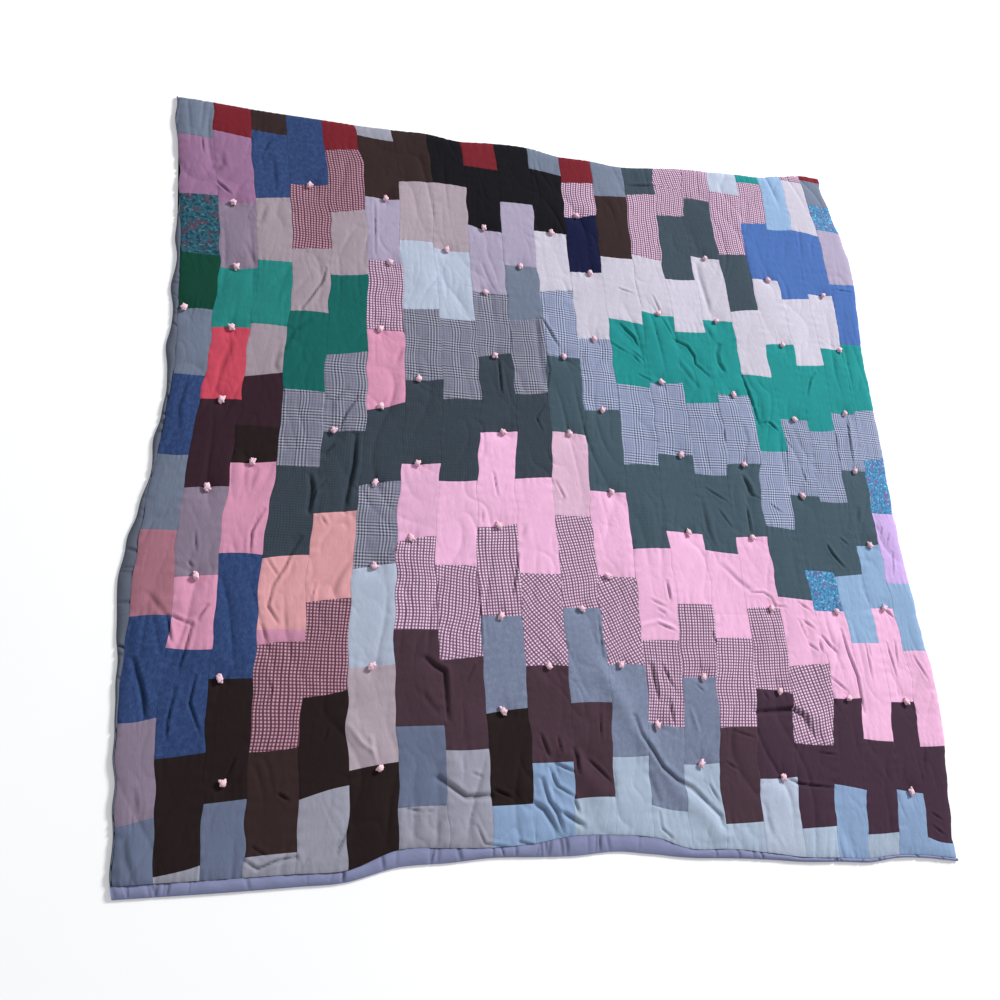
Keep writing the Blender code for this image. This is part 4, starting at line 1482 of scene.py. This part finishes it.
    def sewing(self, number: int, offset: np.ndarray, down: np.ndarray, near_side: np.ndarray,
               near_row: np.ndarray) -> np.ndarray:
        """Relief of the sewing: ditches, the folded allowance beside them, and puckers.

        Args:
            number: The strip's number.
            offset: Places across the strip, in metres.
            down: Places down the quilt.
            near_side: Distance to the nearer long seam.
            near_row: Distance to the nearer short seam.

        Returns:
            Metres of height.
        """
        height = np.zeros(down.shape)
        for near in (near_side, near_row):
            height -= self.ditch * np.exp(-(near / self.ditch_width) ** 2)
            height += self.pillow * (1 - np.exp(-near / self.pillow_reach))
        for folded in (near_row, offset):
            height += self.allowance * smoothstep(self.allowance_width + self.allowance_edge,
                                                  self.allowance_width - self.allowance_edge, folded)
        place = number * self.lay.strip_width + offset
        gathers = Waves(self.gather_length, self.gather_seed, self.pucker_spread)
        gathers = gathers.at(place, self.pucker_stretch * down)
        height += self.gather * gathers * np.exp(-near_row / self.gather_reach)
        puckers = Waves(self.pucker_length, self.pucker_seed, self.pucker_spread)
        puckers = puckers.at(down, self.pucker_stretch * place)
        height += self.pucker * puckers * np.exp(-near_side / self.pucker_reach)
        return height

    def rounding(self, number: int, offset: np.ndarray, down: np.ndarray, top: np.ndarray) -> np.ndarray:
        """Height lost where the face turns in at the quilt's top and right edges."""
        distance = down - top
        if number == self.lay.strip_count:
            distance = np.minimum(distance, self.lay.strip_width - offset)
        t = np.clip(distance / self.edge_round, 0, 1)
        return self.edge_round * (1 - np.sqrt(1 - (1 - t) ** 2))

    def grain(self, patches: list[Patch], offset: np.ndarray, down: np.ndarray, owner: np.ndarray,
              rng: np.random.Generator) -> np.ndarray:
        """Each patch's own cloth coordinates, at its faces' corners.

        Args:
            patches: The strip's patches.
            offset: Places across the strip, in metres.
            down: Places down the quilt.
            owner: The patch of each row of faces.
            rng: The source of where on the bolt each patch was cut.

        Returns:
            Values by face row, face column, corner and axis.
        """
        flat = np.stack([np.broadcast_to(offset, down.shape), down], axis=-1)
        corners = corner_values(flat)
        turns = np.array([patch.turn for patch in patches])
        turns = turns + rng.uniform(-self.grain_wander, self.grain_wander, len(patches))
        cuts = rng.uniform(0, self.bolt_length, (len(patches), 2))
        turn = turns[owner][:, None, None]
        cos, sin = np.cos(turn), np.sin(turn)
        u = corners[..., 0] * cos - corners[..., 1] * sin
        v = corners[..., 0] * sin + corners[..., 1] * cos
        cut = cuts[owner][:, None, None, :]
        return np.stack([u, v], axis=-1) + cut

    def lot(self, patches: list[Patch], painted_shade_factor: np.ndarray, owner: np.ndarray,
            rng: np.random.Generator) -> np.ndarray:
        """Each patch's own shade, and the painted shade of its seams and sharp creases, at its faces'
        corners.

        Args:
            patches: The strip's patches.
            painted_shade_factor: From 1 in the open to less where shade is painted along seams and sharp
                creases.
            owner: The patch of each row of faces.
            rng: The source of the patches' small differences.

        Returns:
            Values by face row, face column, corner and axis.
        """
        marks = np.array([patch.shade for patch in patches])
        small = rng.uniform(-self.lot_spread, self.lot_spread, len(patches))
        shades = (OWN_SHADE + self.lot_step * marks + small)[owner]
        corners = corner_values(np.stack([painted_shade_factor, painted_shade_factor], axis=-1))
        corners[..., 0] = shades[:, None, None]
        return corners


# ---- backing and binding ----
@dataclass
class Backing:
    """The plain cloth under the quilt."""

    lay: Lay
    effects: Effects
    thickness: float = 0.0007
    inset: float = 0.0012
    cells: int = 90
    widest: float = 1.0         # metres down, where the left binding is widest
    # The painted shade factor halves the backing's colour all over.
    painted_shade_factor: float = 0.5

    def build(self) -> bpy.types.Object:
        """Build the backing as one thin flat sheet."""
        shares = np.linspace(0, 1, self.cells)
        share_x, share_y = np.meshgrid(shares, shares)
        width = self.lay.strip_width
        inset = self.inset / width
        left = -self.lay.left_binding(np.full(share_x.shape, self.widest)) / width
        across = left + inset + share_x * (self.lay.strip_count - left - 2 * inset)
        inside = np.clip(across, 0, self.lay.strip_count)
        top = self.lay.edge("top", inside) + self.inset
        bottom = self.lay.edge("bottom", inside) - self.inset
        down = top + share_y * (bottom - top)
        limit = -self.lay.left_binding(down) / width + inset
        across = np.maximum(across, limit)
        x, y = self.lay.place(across, down)
        flat = np.stack([x, y], axis=-1)
        lot = corner_values(np.broadcast_to((OWN_SHADE, self.painted_shade_factor), flat.shape))
        slots = np.zeros((self.cells - 1, self.cells - 1))
        height = np.full(x.shape, self.thickness)
        sheet = SheetGrid(x, y, height, 0.0, corner_values(flat), lot, slots)
        piece = sheet.build("backing", [BACKING_FINISH.material("backing_cloth", self.effects)])
        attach(piece, BODY)
        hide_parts("pieced_cloth")
        return piece


@dataclass
class Binding:
    """The rolled binding along the left and bottom edges."""

    lay: Lay
    effects: Effects
    left_length: float = 1.60
    bottom_length: float = 1.74
    corner_down: float = 1.5    # metres down, at the corner where the two bindings meet
    loft: float = 0.0068
    edge_height: float = 0.00128
    round_start: float = 0.16   # where on a half wave the section starts, and how much it takes
    round_reach: float = 0.80
    round_power: float = 0.6
    roll: float = 0.0007
    roll_pitch: float = 0.058
    crease: float = 0.0030
    crease_start: float = 0.25  # the same for how deep a crease is across the section
    crease_reach: float = 0.7
    crease_width: float = 0.0022
    crease_widths: tuple[float, float] = (0.8, 1.8)
    crease_depths: tuple[float, float] = (0.2, 1.0)
    crease_lean: float = 0.006
    creases_per_metre: float = 30.0
    # Painted shade darkens the binding's creases and its cloth along the seam.
    painted_crease_shade: float = 0.35
    painted_seam_shade: float = 0.88    # how much colour the painted shade at its seam leaves, and over how much of it
    seam_shade_share: float = 0.2
    cloth_width: float = 0.02
    thinnest: float = 0.0004
    gathers_left: tuple[float, ...] = (1.02, 0.86, 0.55)
    gathers_bottom: tuple[float, ...] = (0.60, 0.77, 0.80, 0.81, 1.62)
    gather_lean: float = 0.004
    gather_width: float = 0.0035
    across_cells: int = 16
    cell: float = 0.0022
    under: float = 0.0001
    seed: int = 5

    def build(self) -> list[bpy.types.Object]:
        """Build both lengths of binding."""
        side = SIDE_BINDING_FINISH.material("side_binding_cloth", self.effects)
        material = BINDING_FINISH.material("binding_cloth", self.effects)
        left = self.build_length("rolled_binding_left", "binding_left", self.place_left,
                                 self.left_length, side, self.gathers_left)
        bottom = self.build_length("rolled_binding_bottom", "binding_bottom", self.place_bottom,
                                   self.bottom_length, material, self.gathers_bottom)
        return [left, bottom]

    def place_left(self, outward: np.ndarray, along: np.ndarray) -> tuple[np.ndarray, np.ndarray]:
        """Places on the left binding, from its seam out and from the bottom up."""
        zero = np.zeros_like(along)
        low = self.lay.cloth_bottom(zero)
        down = low + along * (self.lay.edge("top", zero) - low)
        x, y = self.lay.place(zero, down)
        return x - self.lay.gap - outward * self.lay.left_binding(down), y

    def place_bottom(self, outward: np.ndarray, along: np.ndarray) -> tuple[np.ndarray, np.ndarray]:
        """Places on the bottom binding, from its seam out and from the left to the right."""
        left = self.lay.left_binding(np.full(along.shape, self.corner_down))
        corner = -(left + self.lay.gap) / self.lay.strip_width
        across = corner + along * (self.lay.strip_count - corner)
        inside = np.clip(across, 0, self.lay.strip_count)
        depth = self.lay.edge("binding", inside)
        down = self.lay.edge("bottom", inside) - (1 - outward) * (depth - self.lay.gap)
        return self.lay.place(across, down)

    def build_length(self, name: str, node: str, place: Callable, length: float,
                     material: bpy.types.Material, gathers: tuple[float, ...]) -> bpy.types.Object:
        """Build one length of binding.

        Args:
            name: The piece's name.
            node: The node that it stands for.
            place: Turns shares outward and along into x and y.
            length: The length in metres.
            material: The binding's material.
            gathers: Where it is drawn in hardest, in metres along it.

        Returns:
            The piece.
        """
        cells = round(length / self.cell)
        outward, along = np.meshgrid(np.linspace(1, 0, self.across_cells + 1), np.linspace(1, 0, cells))
        x, y = place(outward, along)
        height, groove = self.profile(outward, along * length, length, gathers)
        flat = np.stack([outward * self.cloth_width, along * length], axis=-1)
        # Painted shade: darker near the seam and in the creases.
        away = np.clip(outward / self.seam_shade_share, 0, 1)
        painted_shade_factor = (self.painted_seam_shade + (1 - self.painted_seam_shade) * away) * (1 - self.painted_crease_shade * groove)
        lot = corner_values(np.stack([np.full(painted_shade_factor.shape, OWN_SHADE), painted_shade_factor], axis=-1))
        slots = np.zeros((x.shape[0] - 1, x.shape[1] - 1))
        sheet = SheetGrid(x, y, height, self.under, corner_values(flat), lot, slots)
        piece = sheet.build(name, [material])
        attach(piece, BODY)
        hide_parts(node)
        return piece

    def draws(self, length: float, gathers: tuple[float, ...]) -> list[tuple[float, float, float, float]]:
        """The binding's short creases and its deep gathers.

        Args:
            length: The binding's length.
            gathers: Where it is drawn in hardest, in metres along it.

        Returns:
            The place, lean, share of the full depth and half width of each.
        """
        rng = np.random.default_rng(self.seed)
        small = [(place, rng.uniform(-self.crease_lean, self.crease_lean),
                  rng.uniform(*self.crease_depths), self.crease_width * rng.uniform(*self.crease_widths))
                 for place in rng.uniform(0, length, int(length * self.creases_per_metre))]
        return small + [(place, self.gather_lean, 1.0, self.gather_width) for place in gathers]

    def profile(self, outward: np.ndarray, metres: np.ndarray, length: float,
                gathers: tuple[float, ...]) -> tuple[np.ndarray, np.ndarray]:
        """Height of the rolled edge: a round lip, a seam ditch, soft rolls, creases and gathers.

        Args:
            outward: From 0 at the seam to 1 at the lip.
            metres: Metres along the binding.
            length: The binding's length.
            gathers: Where it is drawn in hardest, in metres along it.

        Returns:
            Metres above the floor, and how deep in a crease each place is, from 0 to 1.
        """
        crown = np.sin(math.pi * np.clip(self.round_start + self.round_reach * outward, 0, 1))
        height = self.edge_height + (self.loft - self.edge_height) * crown**self.round_power
        height += self.roll * np.sin(2 * math.pi * metres / self.roll_pitch) * (1 - outward)
        groove = np.zeros(outward.shape)
        deep = np.sin(math.pi * np.clip(self.crease_start + self.crease_reach * outward, 0, 1))
        for place, lean, share, width in self.draws(length, gathers):
            off = (metres - place - lean * outward) / width
            line = share * np.exp(-off**2) * deep
            height -= self.crease * line
            # The crease mask also gives the painted shade in the creases.
            groove = np.maximum(groove, line)
        return np.maximum(height, self.under + self.thinnest), groove


# ---- yarn ties ----
@dataclass
class Tufts:
    """The mesh of one strip's ties as it grows: tubes of a few rings of points each."""

    rings: int = 6
    sides: int = 6
    points: list[np.ndarray] = field(default_factory=list)
    faces: list[tuple[int, ...]] = field(default_factory=list)
    flats: list[tuple[float, float]] = field(default_factory=list)      # the yarn's own coordinates

    def close_tube(self, base: int) -> None:
        """Add the faces of a tube, with its two ends.

        Args:
            base: The tube's first point.
        """
        for ring in range(self.rings - 1):
            for side in range(self.sides):
                a = base + ring * self.sides + side
                b = base + ring * self.sides + (side + 1) % self.sides
                self.faces.append((a, b, b + self.sides, a + self.sides))
        last = base + (self.rings - 1) * self.sides
        self.faces.append(tuple(range(base + self.sides - 1, base - 1, -1)))
        self.faces.append(tuple(range(last, last + self.sides)))

    def build(self, name: str, material: bpy.types.Material) -> bpy.types.Object:
        """Make one object of all the tufts.

        Args:
            name: The piece's name.
            material: The yarn's material.

        Returns:
            The piece.
        """
        mesh = bpy.data.meshes.new(name)
        mesh.from_pydata([tuple(point) for point in self.points], [], self.faces)
        mesh.update()
        owners = np.empty(len(mesh.loops), dtype=np.int32)
        mesh.loops.foreach_get("vertex_index", owners)
        write_map(mesh, GRAIN_MAP, np.array(self.flats)[owners])
        write_map(mesh, LOT_MAP, np.tile((OWN_SHADE, 1.0), (len(owners), 1)))
        mesh.materials.append(material)
        mesh.shade_smooth()
        return show(name, mesh)


@dataclass
class YarnTies:
    """The knotted yarn tufts, one piece for each strip's ties."""

    lay: Lay
    relief: Relief
    effects: Effects
    ply_length: float = 0.0098
    ply_lengths: tuple[float, float] = (0.55, 1.15)
    ply_radius: float = 0.0034
    plies: int = 5
    fan: float = 0.85           # radians, as the next five
    fan_wander: float = 0.12
    lean: float = 0.80
    steepest: float = 1.35
    flattest: float = 0.35
    rise_wander: float = 0.1
    droop: float = 1.45         # how far a ply bends over, as a share of its rise
    ridge: float = 0.14         # how deep the grooves between the yarn's strands are
    knot_radius: float = 0.0058
    knot_height: float = 0.0075
    sink: float = 0.0014
    seed: int = 11

    def build(self) -> list[bpy.types.Object]:
        """Build the ties strip by strip."""
        rng = np.random.default_rng(self.seed)
        material = YARN_FINISH.material("wool_yarn", self.effects)
        nodes = set(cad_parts)
        pieces = []
        for strip in TIES:
            places = self.lay.ties(strip)
            tufts = Tufts()
            for place in places:
                self.add_tie(place, tufts, rng)
            piece = tufts.build(f"yarn_ties_{strip:02d}", material)
            names = [f"tie_{strip:02d}_{number}" for number in range(1, len(places) + 1)]
            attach(piece, BODY)
            carried = [name for name in names if name in nodes]
            if carried:
                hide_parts(*carried)
            pieces.append(piece)
        return pieces

    def add_tie(self, place: tuple[float, float], tufts: Tufts, rng: np.random.Generator) -> None:
        """Add one tie: two bunches of cut plies that spread from a tight knot.

        Args:
            place: Where the tie is, as (across, down).
            tufts: The strip's tufts so far.
            rng: The source of each ply's bend.
        """
        x, y = (float(part) for part in self.lay.place(*place))
        height = float(self.relief.face(np.array([place[0]]), np.array([place[1]]))[0][0])
        root = np.array([x, y, height + self.sink])
        turn = 0.5 * math.pi + rng.uniform(-self.lean, self.lean)
        for end in (0.0, math.pi):
            for ply in range(self.plies):
                aside = self.fan * (2 * ply / (self.plies - 1) - 1)
                aside += rng.uniform(-self.fan_wander, self.fan_wander)
                rise = self.steepest - (self.steepest - self.flattest) * (ply % 3) / 2
                rise += rng.uniform(-self.rise_wander, self.rise_wander)
                length = self.ply_length * rng.uniform(*self.ply_lengths)
                self.add_ply(root, turn + end + aside, rise, length, tufts)
        self.add_knot(root, turn, tufts)

    def add_knot(self, root: np.ndarray, turn: float, tufts: Tufts) -> None:
        """Add the round knot that holds a tie's plies.

        Args:
            root: The knot's middle at the cloth.
            turn: The direction of the plies.
            tufts: The strip's tufts so far.
        """
        base = len(tufts.points)
        for t in np.linspace(0, 1, tufts.rings):
            level = self.knot_height * (t * (2 - t))
            radius = self.knot_radius * math.sin(math.pi * (0.35 + 0.60 * t)) ** 0.6
            for side in range(tufts.sides):
                angle = 2 * math.pi * side / tufts.sides
                reach = radius * (1 + self.ridge * math.cos(2 * angle + 6 * t))
                tufts.points.append(root + np.array([reach * math.cos(angle + turn),
                                                     reach * math.sin(angle + turn), level]))
                tufts.flats.append((0.01 * t + 0.003 * base, radius * side))
        tufts.close_tube(base)

    def add_ply(self, root: np.ndarray, angle: float, rise: float, length: float, tufts: Tufts) -> None:
        """Add one fat bent end of yarn with a rounded tip.

        Args:
            root: Where it leaves the knot.
            angle: Its direction on the floor.
            rise: How steeply it starts, in radians.
            length: Its length in metres.
            tufts: The strip's tufts so far.
        """
        base = len(tufts.points)
        heading = np.array([math.cos(angle), math.sin(angle), 0.0])
        sideways = np.array([-math.sin(angle), math.cos(angle), 0.0])
        here = root.copy()
        for t in np.linspace(0, 1, tufts.rings):
            pitch = rise * (1 - self.droop * t)
            ahead = heading * math.cos(pitch) + np.array([0, 0, math.sin(pitch)])
            upward = -heading * math.sin(pitch) + np.array([0, 0, math.cos(pitch)])
            radius = self.ply_radius * math.sin(math.pi * min(0.95, 0.28 + 0.67 * t)) ** 0.5
            for side in range(tufts.sides):
                round_angle = 2 * math.pi * side / tufts.sides + 1.3 * t
                ridge = 1 + self.ridge * math.cos(3 * round_angle + 5 * t)
                spoke = sideways * math.cos(round_angle) + upward * math.sin(round_angle)
                point = here + spoke * radius * ridge
                point[2] = max(point[2], root[2] - self.sink)
                tufts.points.append(point)
                tufts.flats.append((length * t + 0.1 * base, radius * side))
            here = here + ahead * length / (tufts.rings - 1)
        tufts.close_tube(base)


# ---- studio ----
@dataclass(frozen=True)
class FloorFinish:
    """A plain pale matte floor."""

    colour: Colour = (253, 253, 254)
    cloud: Colour = (246, 246, 248)
    cloud_scale: float = 1.5
    roughness: float = 0.8
    shine: float = 0.1
    glow: float = 0.16          # a little light of its own keeps the floor nearly white

    def material(self) -> bpy.types.Material:
        """Build the floor's material."""
        material = bpy.data.materials.new("pale_floor")
        material.use_nodes = True
        shader = Shader(material.node_tree)
        principled = material.node_tree.nodes["Principled BSDF"]
        place = shader.node("ShaderNodeTexCoord").outputs["Object"]
        clouds = shader.noise(place, self.cloud_scale)
        tone = shader.mix(clouds, linear(self.colour), linear(self.cloud))
        shader.feed(principled.inputs["Base Color"], tone)
        principled.inputs["Roughness"].default_value = self.roughness
        principled.inputs["Specular IOR Level"].default_value = self.shine
        principled.inputs["Emission Color"].default_value = (1.0, 1.0, 1.0, 1.0)
        principled.inputs["Emission Strength"].default_value = self.glow
        return material


@dataclass
class Studio:
    """The floor, the soft light and the camera at the photograph's angle."""

    lay: Lay
    floor_size: float = 14.0
    floor_drop: float = 0.0004
    camera_place: tuple[float, float, float] = (0.262, -1.314, 1.483)
    camera_aim: tuple[float, float, float] = (0.7006, -0.7880, 0.0)
    camera_top: tuple[float, float, float] = (-0.0510, 0.9459, 0.3204)
    lens: float = 28.1
    sensor: float = 36.0
    sky: float = 0.44
    sky_colour: tuple[float, float, float, float] = (0.97, 0.98, 1.0, 1.0)
    key_energy: float = 900.0
    key_size: float = 1.8
    key_place: tuple[float, float, float] = (6.0, 4.6, 4.2)

    def build(self) -> None:
        """Set up the whole studio."""
        self.build_floor()
        self.build_sky()
        self.build_light("key", self.key_place, self.key_energy, self.key_size)
        self.build_camera()
        # Plain display of the cloths' own colours, with no film look over them.
        bpy.context.scene.view_settings.view_transform = "Standard"

    def build_floor(self) -> None:
        """Lay the pale floor just under the quilt."""
        bpy.ops.mesh.primitive_plane_add(size=self.floor_size, location=(0, 0, -self.floor_drop))
        floor = bpy.context.active_object
        floor.name = "floor"
        floor.data.materials.append(FloorFinish().material())

    def build_sky(self) -> None:
        """Surround the quilt with even pale light."""
        world = bpy.data.worlds.new("studio")
        world.use_nodes = True
        background = world.node_tree.nodes["Background"]
        background.inputs["Color"].default_value = self.sky_colour
        background.inputs["Strength"].default_value = self.sky
        bpy.context.scene.world = world

    @staticmethod
    def build_light(name: str, place: tuple[float, float, float], energy: float, size: float) -> None:
        """Hang one soft light that faces the quilt.

        Args:
            name: The light's name.
            place: Where it hangs.
            energy: Its power in watts.
            size: The side of its square face.
        """
        data = bpy.data.lights.new(name, "AREA")
        data.energy = energy
        data.size = size
        light = show(name, data)
        light.location = place
        light.rotation_euler = (-Vector(place)).to_track_quat("-Z", "Y").to_euler()

    def build_camera(self) -> None:
        """Put the camera where the photograph was taken from."""
        shift = Vector((self.lay.centre[0], self.lay.centre[1], 0.0))
        place = Vector(self.camera_place) - shift
        back = (place - (Vector(self.camera_aim) - shift)).normalized()
        right = Vector(self.camera_top).cross(back).normalized()
        up = back.cross(right)
        data = bpy.data.cameras.new("camera")
        data.lens = self.lens
        data.sensor_width = self.sensor
        camera = show("camera", data)
        turn = Matrix((right, up, back)).transposed()
        camera.matrix_world = Matrix.Translation(place) @ turn.to_4x4()
        bpy.context.scene.camera = camera


def main() -> None:
    """Build the quilt's looks and the studio, and report each piece."""
    logging.basicConfig(level=logging.INFO, format="%(message)s")
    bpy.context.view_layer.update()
    lay = Lay()
    lay.centre_on("pieced_cloth")
    relief = Relief(lay)
    effects = Effects()
    strips = PiecedStrips(lay, relief, effects)
    strips.dress()
    pieces = strips.build()
    pieces += Binding(lay, effects).build()
    pieces += YarnTies(lay, relief, effects).build()
    backing = Backing(lay, effects).build()
    total = 0
    for piece in [*pieces, backing]:
        triangles = len(piece.data.loops) - 2 * len(piece.data.polygons)
        total += triangles
        LOG.info("%s: %d triangles", piece.name, triangles)
    LOG.info("all pieces: %d triangles", total)
    Studio(lay).build()


if __name__ == "__main__":
    main()
